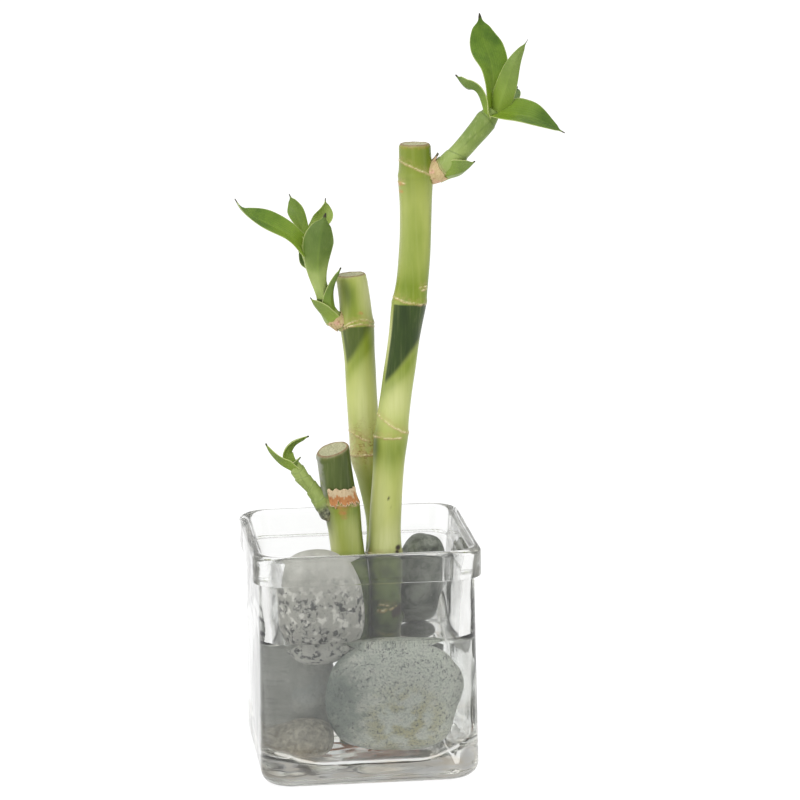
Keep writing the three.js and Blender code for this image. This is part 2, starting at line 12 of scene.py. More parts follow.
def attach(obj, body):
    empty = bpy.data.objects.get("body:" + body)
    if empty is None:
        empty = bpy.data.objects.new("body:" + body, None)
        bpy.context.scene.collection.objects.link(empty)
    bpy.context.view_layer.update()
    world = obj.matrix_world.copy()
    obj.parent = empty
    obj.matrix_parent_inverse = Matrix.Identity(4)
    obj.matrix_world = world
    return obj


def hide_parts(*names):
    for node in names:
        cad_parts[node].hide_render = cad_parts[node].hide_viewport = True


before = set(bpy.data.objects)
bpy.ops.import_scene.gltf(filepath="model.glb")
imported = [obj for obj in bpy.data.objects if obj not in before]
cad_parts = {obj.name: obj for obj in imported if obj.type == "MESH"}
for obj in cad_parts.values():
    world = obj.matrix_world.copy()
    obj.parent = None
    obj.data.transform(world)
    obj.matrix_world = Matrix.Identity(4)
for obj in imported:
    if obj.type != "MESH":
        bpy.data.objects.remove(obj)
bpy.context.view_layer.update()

# Sizes, in millimetres, with +Z up and the vase's front towards -Y

VASE = Spec(
    height=94, rim_half=45, rim_corner=11.5, rim_round=2.2, collar_height=11.5,
    collar_round=0.35, collar_step=0.3, cove=0.25, punt=0.9,
    body_top_half=42.5, body_foot_half=43.25, body_corner=10.5, foot_round=6.5,
    mouth_half=40.3, mouth_foot=60, wall=4.4, inner_corner=9,
    floor=6, floor_half=25, floor_corner=19, floor_rise=12,
)
WALL_HALF = VASE.body_top_half - VASE.wall
BOWL_TOP = VASE.floor + VASE.floor_rise
MOUTH_TOP = VASE.height - VASE.rim_round
WATER = Spec(level=56.5, climb=1.5, lap=0.18)

CANES = {
    "tall": Spec(
        line=[[10.3, 0, 9], [10.7, 0.3, 84], [11.4, 1, 101.5], [14.1, 1.5, 132.5], [16, 2, 146],
            [18.5, 2, 162], [22.2, 2.5, 185.5], [23.6, 3, 194], [25, 3.5, 210], [25.5, 4, 235.5],
            [25.4, 4.4, 248]],
        nodes=[84.5, 132.5, 185.5, 235.5], diameter=12.5, node_diameter=13.9, slope=[0, 0],
    ),
    "middle": Spec(
        line=[[12.6, 14.2, 9], [11.2, 14.5, 80], [11.1, 14.8, 94], [8, 15, 110.5], [6, 15, 119],
            [4.5, 15.5, 135.5], [3.5, 16.2, 160], [2.4, 16.6, 177], [1.8, 17, 185], [0.6, 17.5, 194.6]],
        nodes=[80, 122, 175.5], diameter=12.3, node_diameter=13.8, slope=[4, 0],
    ),
    "short": Spec(
        line=[[-2.8, 1, 9], [-3.1, -1.2, 69], [-4.2, -2, 83], [-4.9, -2.3, 90], [-7, -3, 106.5],
            [-8, -3.6, 111.5], [-10, -4.5, 128.3]],
        nodes=[106.5], diameter=13.3, node_diameter=14.8, slope=[15, 11],
    ),
}
# A cane's top leans to its sloping cut. Below a set height it is painted darker: partly its own darker
# skin, partly painted shade. Rows are finer at scars.
CANE = Spec(
    foot=9, flare_up=5, flare_down=20, ring=0.3, ring_reach=1.2, cut_round=0.8, cut_dish=0.55, lean=16,
    lean_used=12.8, murk=88, murk_swell=0.3, row=1.2, fine_row=0.4, fine_reach=6,
)

# Old leaf scars: height at the front, fall to the right, bow to both sides and how far round they
# show, as sines from left to right. Dark is the dark skin under a node. Spots and orange marks:
# height, sine to the right and size; some of the dark spots are painted shadow. Papery and green
# stretches: height, reach and, for green, a share. Painted shade, pale stretches (pale skin and
# painted highlights) and light stretches (painted light): height, sine, its width, reach up and
# down, and share.
MARKS = {
    "tall": Spec(
        scars=[[238.6, 3.2, 0, -1.2, 0.95], [232.6, 0.6, 0, -1.1, -0.6], [185.8, 1.6, 0.4, -1.2, 1.2],
            [191.6, -0.4, 0, 0.3, 0.95], [190.4, -0.6, 0, 0.45, 0.95], [136.3, 3.9, 0.6, -1.2, 1.2],
            [131.9, 0.2, 0, -1.2, 0.62], [84.4, 0.5, 0, -1.2, 1.2], [61, -0.8, 0.5, -0.7, 0.65],
            [62.2, 0.6, 0.5, -0.6, 0.1]],
        dark=Spec(top=185.0, edge=161.5, rise=8.9, margin=7, share=1.0), papery=[], light=[],
        # The two lowest spots of the tall cane are painted shadow beside its low scar.
        spots=[[107.7, 0.02, 0.45], [103.3, 0.2, 0.4], [87, 0.72, 1.0], [85.4, 0.62, 0.7],
            [59.4, 0.45, 1.3], [59.8, 0.8, 2.1]],
        orange=[[232.6, -0.98, 0.9], [229.6, -0.97, 0.7]],
        green=[[245, 14, 1.0], [205, 30, 0.45], [188, 9, 0.8], [157, 6, 0.5], [126, 8, 0.8],
            [60, 28, 0.8]],
        shade=[[128, -0.95, 0.25, 7, 0.8], [84, -1, 0.2, 8, 0.5], [244, 0.2, 3, 18, 0.28],
            [222, 0.98, 0.2, 24, 0.35]],
        milky=[[218, -1, 0.4, 22, 0.25], [172, -1, 0.5, 12, 0.8], [146, -0.1, 0.9, 9, 0.55],
            [100, -0.6, 0.7, 20, 0.45], [90, 0, 1.2, 9, 0.7]],
    ),
    "middle": Spec(
        scars=[[177.2, -1.0, -3.2, -1.2, 1.2], [175.6, -0.6, -2.6, -1.2, 1.2], [128.2, 3.2, 0, -1.2, 1.2],
            [122.6, -0.8, 0, -1.2, 1.2], [80, 0.5, 0, -1.2, 1.2]],
        dark=Spec(top=174.5, edge=166.7, rise=9.1, margin=9, share=0.74),
        spots=[[108, 0.75, 1.1], [106, 0.7, 0.8], [118.5, 0.8, 1.3]],
        papery=[[125.5, 10.5]],
        orange=[[179.8, 0.2, 0.7]],
        green=[[186, 9, 1.0], [172, 12, 0.8], [60, 28, 0.8]],
        shade=[[188, -0.55, 0.35, 7, 0.65], [112, 0.9, 0.4, 9, 0.5], [150, 1, 0.18, 22, 0.35],
            [108, -0.3, 0.7, 9, 0.2]],
        milky=[[186, -1, 0.4, 14, 0.55], [141, 0, 0.7, 15, 0.6], [188, 0.75, 0.45, 12, 0.7],
            [122, -1, 0.5, 12, 0.6]],
        light=[[186, 0.7, 0.6, 12, 0.8]],
    ),
    "short": Spec(
        scars=[[106.2, 0.3, 0, -1.2, 1.2]],
        dark=Spec(top=140, edge=108.5, rise=0.0, margin=9, share=0.8), spots=[], papery=[], light=[],
        orange=[[105.4, 0.0, 1.5], [103.4, -0.05, 1.1], [101.4, 0.0, 0.8]],
        green=[[100, 16, 0.4], [60, 24, 0.9]],
        shade=[[94, 0.95, 0.22, 16, 0.6], [101, -0.98, 0.3, 7, 0.9]],
        milky=[[94, -1, 0.4, 14, 0.9], [95, 0.4, 0.6, 9, 0.3]],
    ),
}

SHOOTS = {
    "tall": Spec(
        line=[[29, 4, 235.6], [33.5, 3.6, 236.9], [38, 3, 239.7], [43.2, 2.5, 244.6], [48.8, 2, 251],
            [53.4, 1.5, 256.6], [56.4, 1, 261]],
        radius=[4, 4.1, 4, 4, 4.2, 4.3, 3.2], rings=[0.3, 0.46, 0.86],
    ),
    "middle": Spec(
        line=[[-2.6, 16, 174], [-6, 15.3, 177], [-10, 14.5, 183.4], [-12, 13.5, 191], [-14.5, 13, 198.5],
            [-17, 12.5, 205.5], [-18, 12.5, 208.5]],
        radius=[3.1, 3, 2.8, 2.9, 3.2, 2.9, 2.2], rings=[0.2, 0.42, 0.7],
    ),
    "short": Spec(
        line=[[-8, -3.5, 98.4], [-12.8, -4, 103.6], [-15.6, -4.2, 108.6], [-18.5, -4.5, 112.5],
            [-22, -5, 117], [-24.5, -5, 121], [-26, -5, 123.5]],
        radius=[3.2, 3.9, 3.3, 2.7, 2.8, 2.7, 2.3], rings=[0.36, 0.52, 0.68, 0.82],
    ),
}

HUSKS = {
    "tall": Spec(round="shoot", start=-100, end=110, low=0.08, high=0.25, ragged=0.03),
    "middle": Spec(round="shoot", start=-100, end=100, low=0.08, high=0.2, ragged=0.03),
    "short": Spec(round="cane", start=-38, end=62, low=107.2, high=113.6, ragged=1.9),
}

ROOT = Spec(
    count=5, length=13, shorter=0.25, start=3, radius=0.8, tip_radius=0.5, lift=1.45, rise=0.45, sway=0.25,
)
CALLUS = Spec(radius=6.2, foot=6.35)


# Small helpers

def mix(a, b, t):
    return a + (b - a) * t


def clamp01(t):
    return min(1.0, max(0.0, t))


def smooth(t):
    t = clamp01(t)
    return t * t * (3 - 2 * t)


def steps(count):
    return [i / count for i in range(count + 1)]


def turns(count):
    return [2 * pi * i / count for i in range(count)]


def arc(radius, t):
    """The rise of a quarter round from its start, and what is left to its side."""
    return radius * (1 - cos(t * pi / 2)), radius * (1 - sin(t * pi / 2))


def unit(v):
    return v / max(1e-9, float(np.linalg.norm(v)))


def between(values, t):
    return float(np.interp(t, np.linspace(0, 1, len(values)), values))


def bell(x, middle, width):
    return exp(-(((x - middle) / width) ** 2))


def wobble(x, y, z, scale):
    """Smooth noise from -1 to 1, for a point in millimetres and a feature size."""
    return noise.noise(Vector((x / scale, y / scale, z / scale)))


class Line:
    """A smooth line through points, by share of its points, by share of its length or by height."""

    def __init__(self, points, fine=60):
        points = [np.array(p, float) for p in points]
        self.spans = len(points) - 1
        self.points = [2 * points[0] - points[1], *points, 2 * points[-1] - points[-2]]
        self.shares = np.linspace(0, 1, self.spans * fine + 1)
        self.samples = np.array([self.at(t) for t in self.shares])
        lengths = np.linalg.norm(np.diff(self.samples, axis=0), axis=1)
        self.lengths = np.concatenate([[0], np.cumsum(lengths)])

    def at(self, t):
        place = clamp01(t) * self.spans
        index = min(self.spans - 1, int(place))
        share = place - index
        p0, p1, p2, p3 = self.points[index:index + 4]
        d0, d1, d2 = [np.sum((b - a) ** 2) ** 0.25 for a, b in ((p0, p1), (p1, p2), (p2, p3))]
        t1 = ((p1 - p0) / d0 - (p2 - p0) / (d0 + d1) + (p2 - p1) / d1) * d1
        t2 = ((p2 - p1) / d1 - (p3 - p1) / (d1 + d2) + (p3 - p2) / d2) * d1
        c2 = -3 * p1 + 3 * p2 - 2 * t1 - t2
        c3 = 2 * p1 - 2 * p2 + t1 + t2
        return p1 + t1 * share + c2 * share**2 + c3 * share**3

    def share_of_length(self, u):
        return float(np.interp(clamp01(u) * self.lengths[-1], self.lengths, self.shares))

    def tangent(self, t):
        return unit(self.at(t + 1e-3) - self.at(t - 1e-3))

    def at_height(self, z):
        x, y = [np.interp(z, self.samples[:, 2], self.samples[:, i]) for i in (0, 1)]
        return np.array([x, y, z])


class Surface:
    """Rows of points joined into a closed skin, with named numbers at each point."""

    def __init__(self):
        self.rows = []
        self.values = {}

    def add(self, points, **values):
        """Adds a row. Each named value is a number for every point, or one for the whole row."""
        self.rows.append(np.array(points))
        for name, numbers in values.items():
            row = np.broadcast_to(np.array(numbers, float), len(points))
            self.values.setdefault(name, []).append(row)

    def mesh(self, name):
        width = len(self.rows[0])
        count = len(self.rows)
        points = np.concatenate(self.rows + [[self.rows[0].mean(axis=0)], [self.rows[-1].mean(axis=0)]])
        foot, top = count * width, count * width + 1
        last = (count - 1) * width
        round_trip = [(j, (j + 1) % width) for j in range(width)]
        faces = [(i + a, i + b, i + b + width, i + a + width)
                 for i in range(0, last, width) for a, b in round_trip]
        for a, b in round_trip:
            faces += [(foot, b, a), (top, last + a, last + b)]
        mesh = bpy.data.meshes.new(name)
        mesh.from_pydata((points / 1000).tolist(), [], faces)
        for key, rows in self.values.items():
            numbers = np.concatenate(rows + [[rows[0].mean()], [rows[-1].mean()]])
            mesh.attributes.new(key, "FLOAT", "POINT").data.foreach_set("value", numbers)
        return mesh


def placed(name, data):
    """Puts a mesh, a light or a camera in the scene."""
    piece = bpy.data.objects.new(name, data)
    bpy.context.scene.collection.objects.link(piece)
    return piece


def show(name, mesh, material, node):
    """Puts a mesh in the scene as the piece that stands for a node."""
    work = bmesh.new()
    work.from_mesh(mesh)
    bmesh.ops.recalc_face_normals(work, faces=work.faces)
    work.to_mesh(mesh)
    work.free()
    mesh.polygons.foreach_set("use_smooth", [True] * len(mesh.polygons))
    mesh.update()
    mesh.materials.append(material)
    piece = placed(name, mesh)
    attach(piece, "root")
    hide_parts(node)


# Materials

def colour(red, green, blue):
    """A display colour out of 255 as the linear colour that shaders take."""
    def linear(value):
        value /= 255
        return value / 12.92 if value <= 0.04045 else ((value + 0.055) / 1.055) ** 2.4
    return (linear(red), linear(green), linear(blue), 1)


class Signal:
    """A number or a colour inside a shader. Numbers combine with others and with plain ones."""

    def __init__(self, nodes, socket):
        self.nodes = nodes
        self.socket = socket

    def __add__(self, other):
        return self.nodes.math("ADD", self, other)

    def __sub__(self, other):
        return self.nodes.math("SUBTRACT", self, other)

    def __mul__(self, other):
        return self.nodes.math("MULTIPLY", self, other)

    def __abs__(self):
        return self.nodes.math("ABSOLUTE", self)

    __radd__ = __add__
    __rmul__ = __mul__

    def band(self, low, high):
        """0 below low, 1 above high, and a smooth step between. Turned round where low is above high."""
        turned = low > high
        return self.nodes.node("MapRange", "Result", {
            "Value": self, "From Min": min(low, high), "From Max": max(low, high),
            "To Min": int(turned), "To Max": int(not turned),
        }, interpolation_type="SMOOTHSTEP")


class Nodes:
    """Short names for the nodes of one shader tree."""

    def __init__(self, tree, space):
        self.tree = tree
        self.place = self.node("TexCoord", space)

    def node(self, kind, output, inputs=None, **settings):
        """Adds a node with its settings and inputs, and gives one of its outputs."""
        node = self.tree.nodes.new("ShaderNode" + kind)
        for name, value in settings.items():
            setattr(node, name, value)
        for name, value in (inputs or {}).items():
            self.put(node.inputs[name], value)
        return Signal(self, node.outputs[output])

    def put(self, socket, value):
        if isinstance(value, Signal):
            self.tree.links.new(value.socket, socket)
        else:
            socket.default_value = value

    def axis(self, name):
        return self.node("SeparateXYZ", name, {0: self.place})

    def stretched(self, x, y, z):
        return self.node("Mapping", "Vector", {"Scale": (x, y, z), "Vector": self.place})

    def noise(self, size, detail=3, rough=0.5, place=None, twist=0.0):
        """Noise with features of a size in millimetres."""
        return self.node("TexNoise", 0, {
            "Scale": 1000 / size, "Detail": detail, "Roughness": rough, "Distortion": twist,
            "Vector": place or self.place,
        })

    def math(self, operation, a, b=0.0):
        return self.node("Math", 0, {0: a, 1: b}, operation=operation)

    def mix(self, share, a, b):
        """Mixes two colours. A plain one is a display colour out of 255, or linear with its alpha."""
        a, b = (colour(*c) if isinstance(c, tuple) and len(c) == 3 else c for c in (a, b))
        return self.node("Mix", 2, {"Factor": share, 6: a, 7: b}, data_type="RGBA")


class Shader(Nodes):
    """A material whose base colour is laid on in coats."""

    def __init__(self, name, roughness=0.5):
        self.material = bpy.data.materials.new(name)
        self.material.use_nodes = True
        super().__init__(self.material.node_tree, "Object")
        self.surface = self.tree.nodes["Principled BSDF"]
        self.set("Roughness", roughness)
        self.base = None

    def set(self, name, value):
        self.put(self.surface.inputs[name], value)

    def number(self, name):
        """A number that the mesh keeps at each point."""
        return self.node("Attribute", "Fac", attribute_name=name)

    def paint(self, share, coat):
        self.base = self.mix(share, self.base, coat)
        self.set("Base Color", self.base)

    def bump(self, height, depth):
        """Relief with a depth in millimetres."""
        self.set("Normal", self.node("Bump", "Normal", {"Distance": depth / 1000, "Height": height}))


def glass_material():
    s = Shader("pressed_glass", 0.0)
    height = s.axis("Z")
    streaks = s.noise(9, 3, 0.55, s.stretched(0.45, 0.45, 2)).band(0.46, 0.62)
    # The left and right walls below the collar are tinted grey in long streaks: painted shade.
    sides = abs(s.axis("X")).band(0.034, 0.0385) * height.band(0.084, 0.08)
    shade_streaks = s.noise(5, 2, 0.5, s.stretched(1, 1, 0.25)).band(0.3, 0.58)
    s.base = s.mix(sides * shade_streaks, (0.935, 0.94, 0.935, 1), (0.8, 0.8, 0.785, 1))
    s.paint(height.band(0.019, 0.011) * streaks, (0.82, 0.76, 0.66, 1))
    s.set("Transmission Weight", 1.0)
    s.set("IOR", 1.5)
    s.bump(s.noise(26, 1, 0.4) + s.noise(9, 1, 0.4) * 0.12, 0.9)
    s.set("Roughness", s.noise(14, 2).band(0.2, 2.6))
    depth = s.node("VolumeAbsorption", "Volume", {"Color": (0.3, 0.3, 0.22, 1), "Density": 5.5})
    s.put(s.tree.nodes["Material Output"].inputs["Volume"], depth)
    return s.material


def water_material():
    s = Shader("still_water", 0.0)
    s.set("Base Color", (0.985, 0.995, 0.99, 1))
    s.set("Transmission Weight", 1.0)
    s.set("IOR", 1.333)
    s.bump(s.noise(12, 1), 0.05)
    return s.material


def granite_material():
    s = Shader("granite_pebble", 0.55)
    height = s.axis("Z") + s.noise(9, 2) * 0.012
    flecked = height.band(0.09, 0.078) * 0.88 + 0.12
    s.base = s.mix(s.noise(7, 3), (158, 157, 147), (194, 193, 184))
    s.paint(height.band(0.082, 0.098) * 0.4, (126, 127, 120))
    s.paint(height.band(0.068, 0.058) * 0.75, (232, 231, 222))
    s.paint(s.noise(3.6, 2).band(0.5, 0.64) * flecked, (228, 227, 218))
    spots = s.noise(8, 3, 0.6).band(0.44, 0.54) * s.noise(2.3, 4, 0.7, twist=0.4).band(0.5, 0.57)
    fine = s.noise(0.9, 2, 0.7).band(0.6, 0.68) * 0.5
    s.paint(s.math("MAXIMUM", spots, fine) * flecked, (64, 65, 62))
    s.set("Roughness", s.noise(3, 2).band(-0.4, 1.4))
    s.bump(s.noise(0.9, 4, 0.6), 0.18)
    return s.material


def green_material():
    s = Shader("green_pebble", 0.42)
    # Darker at the left and lighter at the right, with pale patches only at the right: painted light from
    # the right.
    across = s.axis("X") + s.noise(12, 3) * 0.02
    s.base = s.mix(across.band(-0.006, 0.016), (112, 125, 115), (226, 231, 217))
    s.paint(s.noise(4, 4, 0.65).band(0.4, 0.68) * across.band(-0.008, 0.01), (230, 232, 220))
    stain = s.node("VectorMath", "Value", {0: s.place, 1: (0.014, -0.034, 0.021)}, operation="DISTANCE")
    s.paint(stain.band(0.024, 0.006) * s.noise(6, 3).band(0.36, 0.6) * 0.75, (190, 182, 112))
    s.paint(s.noise(0.9, 3, 0.7).band(0.45, 0.6) * 0.4, (140, 152, 141))
    specks = s.noise(1.25, 4, 0.75).band(0.53, 0.61) * s.noise(6, 2).band(0.28, 0.55)
    s.paint(specks * 0.85, (66, 76, 68))
    s.set("Roughness", s.noise(3, 2).band(-0.4, 1.6))
    s.bump(s.noise(0.8, 3, 0.6), 0.1)
    return s.material


def plain_material(name, dark, light, fleck, size, share=0.75, patch=0.0):
    """A pebble of two close colours with small flecks and, by a share, larger soft patches."""
    s = Shader(name, 0.5)
    s.base = s.mix(s.noise(size, 4, 0.6).band(0.3, 0.7), dark, light)
    s.paint(s.noise(13, 2).band(0.5, 0.64) * patch, (166, 174, 174))
    s.paint(s.noise(1.8, 4, 0.75).band(0.47, 0.6) * 0.45, dark)
    s.paint(s.noise(0.9, 3, 0.65).band(0.62, 0.7) * share, fleck)
    s.set("Roughness", s.noise(4, 2).band(-0.3, 1.5))
    s.bump(s.noise(1.1, 4, 0.6), 0.12)
    return s.material


def cane_material():
    s = Shader("bamboo_cane", 0.36)
    s.set("Specular IOR Level", 0.3)
    fibre = s.noise(1.1, 3, 0.6, s.stretched(1, 1, 0.03))
    drift = s.noise(13, 3, 0.5, s.stretched(1, 1, 0.3))
    pale = s.mix(drift.band(0.3, 0.7), (150, 162, 74), (182, 188, 106))
    green = s.mix(drift.band(0.3, 0.7), (98, 119, 24), (134, 148, 44))
    dark = s.mix(drift.band(0.3, 0.7), (32, 50, 10), (54, 74, 20))
    s.base = s.mix(s.number("green"), pale, green)
    # Pale stretches: partly the cane's own pale skin, partly painted highlights along its edges.
    s.paint(s.number("milky") * fibre.band(-0.4, 0.7), (206, 208, 154))
    edge = s.number("dark") + (fibre - 0.5) * 0.08
    s.paint(edge.band(0.05, 1.0), dark)
    s.paint(fibre.band(0.45, 0.75) * 0.07, (206, 208, 140))
    s.paint(s.number("shade"), (58, 74, 26))
    # Low down the cane is painted darker: partly its own darker skin, partly painted shade.
    murk = s.mix(s.noise(6, 3, 0.6).band(0.36, 0.64), (36, 48, 18), (88, 102, 56))
    s.paint(s.number("dark_and_shaded_below") * 0.86, murk)
    blotch = s.number("tan") * s.noise(1.6, 4, 0.7).band(0.36, 0.56)
    s.paint(blotch, s.mix(s.noise(1.1, 3), (144, 114, 66), (200, 176, 122)))
    broken = 0.45 + s.noise(2.2, 3).band(0.42, 0.56) * 0.55
    lip = s.mix(s.noise(1.6, 3).band(0.36, 0.6), (170, 142, 92), (230, 222, 178))
    s.paint(s.number("cream") * broken, lip)
    scribble = abs(s.noise(4.2, 3, 0.6, s.stretched(1, 1, 1.8)) - 0.5).band(0.035, 0.01)
    s.paint(s.number("scar") * s.noise(3.5, 2).band(0.48, 0.58) * 0.6 * scribble, (120, 78, 40))
    # Dark spots; the lowest on the tall cane are painted shadow.
    s.paint(s.number("spot_and_shadow"), (50, 38, 22))
    orange = s.number("orange") * s.noise(1.6, 4, 0.7).band(0.2, 0.8)
    s.paint(orange, s.mix(s.noise(1.2, 3), (158, 96, 48), (206, 150, 92)))
    s.paint(s.number("grey") * s.noise(2.6, 3).band(0.2, 0.6), (150, 152, 138))
    grain = s.noise(0.7, 3, 0.7)
    flesh = s.mix(grain.band(0.25, 0.75), (134, 134, 104), (184, 181, 146))
    rind = s.mix(s.noise(1.2, 3), (86, 66, 46), (164, 138, 104))
    cut = s.mix(s.number("rind"), flesh, rind)
    s.paint(s.number("cut"), cut)
    s.set("Roughness", 0.34 + s.number("cut") * 0.35)
    s.bump(fibre + grain * 0.3, 0.04)
    return s.material


def shoot_material():
    s = Shader("side_shoot", 0.42)
    s.set("Specular IOR Level", 0.3)
    fibre = s.noise(1.2, 3, 0.6, s.stretched(1, 1, 0.3))
    drift = s.noise(6, 3)
    s.base = s.mix(drift, (88, 112, 42), (124, 144, 66))
    s.paint(s.number("pale") * 0.6, (158, 174, 98))
    s.paint(fibre.band(0.5, 0.75) * 0.3, (176, 186, 122))
    s.paint(s.number("line"), (70, 88, 38))
    wood = s.mix(s.noise(1.5, 4, 0.7).band(0.3, 0.7), (48, 52, 38), (150, 152, 122))
    s.paint(s.number("wood"), wood)
    freckles = s.number("tan") * s.noise(0.8, 3, 0.7).band(0.54, 0.62)
    s.paint(s.number("tan") * 0.85, (204, 186, 138))
    s.paint(freckles, (140, 84, 48))
    s.bump(fibre + s.number("wood") * s.noise(1.2, 4, 0.7), 0.25)
    return s.material


def leaf_material():
    s = Shader("bamboo_leaf", 0.42)
    s.set("Specular IOR Level", 0.25)
    along, across, under = s.number("along"), s.number("across"), s.number("under")
    drift = s.noise(7, 3).band(0.25, 0.75)
    upper = s.mix(drift, (66, 96, 18), (98, 126, 34))
    lower = s.mix(drift, (84, 108, 40), (110, 132, 62))
    s.base = s.mix(under, upper, lower)
    s.paint(along.band(0.7, 0.0) * 0.8, (132, 158, 50))
    s.paint(s.number("tone").band(0.0, 1.0), (150, 168, 84))
    s.paint(s.number("tone").band(0.0, -1.0), (34, 56, 6))
    s.paint(s.number("sheath"), s.mix(drift, (136, 154, 80), (164, 178, 108)))
    vein = s.math("SINE", across * 46)
    s.paint(vein.band(0.2, 1.0) * s.noise(5, 2) * 0.03, (52, 78, 18))
    from_rib = abs(across)
    s.paint(from_rib.band(0.1, 0.02) * along.band(1.0, 0.3) * 0.22, (134, 158, 62))
    s.paint(from_rib.band(0.94, 0.99) * 0.7, (190, 196, 132))
    dry = (along + s.noise(2, 3) * 0.06).band(0.96, 1.0)
    s.paint(dry * 0.92, (58, 50, 40))
    s.set("Subsurface Weight", 0.12)
    s.set("Subsurface Radius", (0.001, 0.0016, 0.0005))
    s.set("Subsurface Scale", 0.6)
    s.bump(vein * 0.5 + s.noise(2.5, 3), 0.035)
    return s.material


def husk_material():
    s = Shader("dry_husk", 0.75)
    fibre = s.noise(0.9, 4, 0.7, s.stretched(1, 1, 0.25))
    patchy = s.number("edge") + (s.noise(2.4, 3) - 0.5) * 1.1
    s.base = s.mix(fibre, (146, 88, 44), (206, 146, 88))
    s.paint(patchy.band(0.42, 0.62), s.mix(fibre, (176, 152, 112), (222, 202, 168)))
    s.paint(s.number("edge").band(0.09, 0.0), (232, 210, 176))
    dull = s.mix(fibre, (158, 132, 82), (214, 194, 148))
    dull = s.mix(s.noise(2.6, 2).band(0.52, 0.62), dull, (206, 166, 138))
    s.paint(s.number("plain"), dull)
    s.paint(s.number("dry").band(0.35, 0.7), (84, 84, 58))
    s.paint(s.noise(1.1, 4, 0.75).band(0.56, 0.66) * 0.7, (132, 80, 46))
    s.bump(fibre, 0.25)
    return s.material


def root_material():
    s = Shader("root", 0.6)
    s.base = s.mix(s.noise(2.2, 4, 0.6), (164, 84, 40), (222, 150, 92))
    s.paint(s.noise(1.0, 3).band(0.6, 0.72), (240, 214, 176))
    s.bump(s.noise(0.8, 4, 0.6), 0.15)
    return s.material


# The vase and its water

def rounded_square(half, corner, z, corner_steps=12, side_steps=14):
    """Points at a height round a square with round corners."""
    def at(quarter, t):
        middle, angle = (quarter + 0.5) * pi / 2, (quarter + t) * pi / 2
        x = copysign(half - corner, cos(middle)) + corner * cos(angle)
        y = copysign(half - corner, sin(middle)) + corner * sin(angle)
        return np.array([x, y, z])

    points = []
    for quarter in range(4):
        points.extend(at(quarter, t) for t in steps(corner_steps))
        start, ahead = points[-1], at(quarter + 1, 0)
        points.extend(mix(start, ahead, t) for t in steps(side_steps)[1:-1])
    return points


def inner_half(z):
    """Half width of the inside at a height: a bowl-like floor, straight walls and a wider mouth."""
    if z < BOWL_TOP:
        drop = (BOWL_TOP - z) / VASE.floor_rise
        return mix(VASE.floor_half, WALL_HALF, sqrt(max(0, 1 - drop * drop)))
    share = clamp01((z - VASE.mouth_foot) / (MOUTH_TOP - VASE.mouth_foot))
    return mix(WALL_HALF, VASE.mouth_half, share**1.5)


def inner_corner(z):
    """Corner radius of the inside at a height: round at the floor, tighter up the walls."""
    share = clamp01((inner_half(z) - VASE.floor_half) / (WALL_HALF - VASE.floor_half))
    return mix(VASE.floor_corner, VASE.inner_corner, share)


def past_corner(x, y, half, corner):
    """How far a place lies past the straight part of a rounded square, along each side."""
    return [max(0.0, abs(v) - (half - corner)) for v in (x, y)]


def floor_at(x, y):
    """Height of the vase's floor at a place."""
    def inside(z):
        return hypot(*past_corner(x, y, inner_half(z), inner_corner(z))) <= inner_corner(z)

    below, above = VASE.floor, BOWL_TOP
    if inside(below):
        return below
    for _ in range(20):
        z = (below + above) / 2
        if inside(z):
            above = z
        else:
            below = z
    return above


def pressed(half, corner, z, depth=0.35):
    """A ring of the inner skin, swayed out and in a little as pressed glass is."""
    upright = smooth((z - VASE.floor) / VASE.floor_rise)
    ring = []
    for point in rounded_square(half, corner, z):
        x, y, _ = point
        sway = depth * wobble(x + 40, y, z, 15) + 0.4 * depth * wobble(x, y + 70, z, 7)
        outward = unit(np.array([x, y, 0.0]))
        ring.append(point + sway * (upright * outward + (1 - upright) * np.array([0, 0, 1])))
    return ring


BOWL = [VASE.floor + arc(VASE.floor_rise, t)[0] for t in steps(16)]


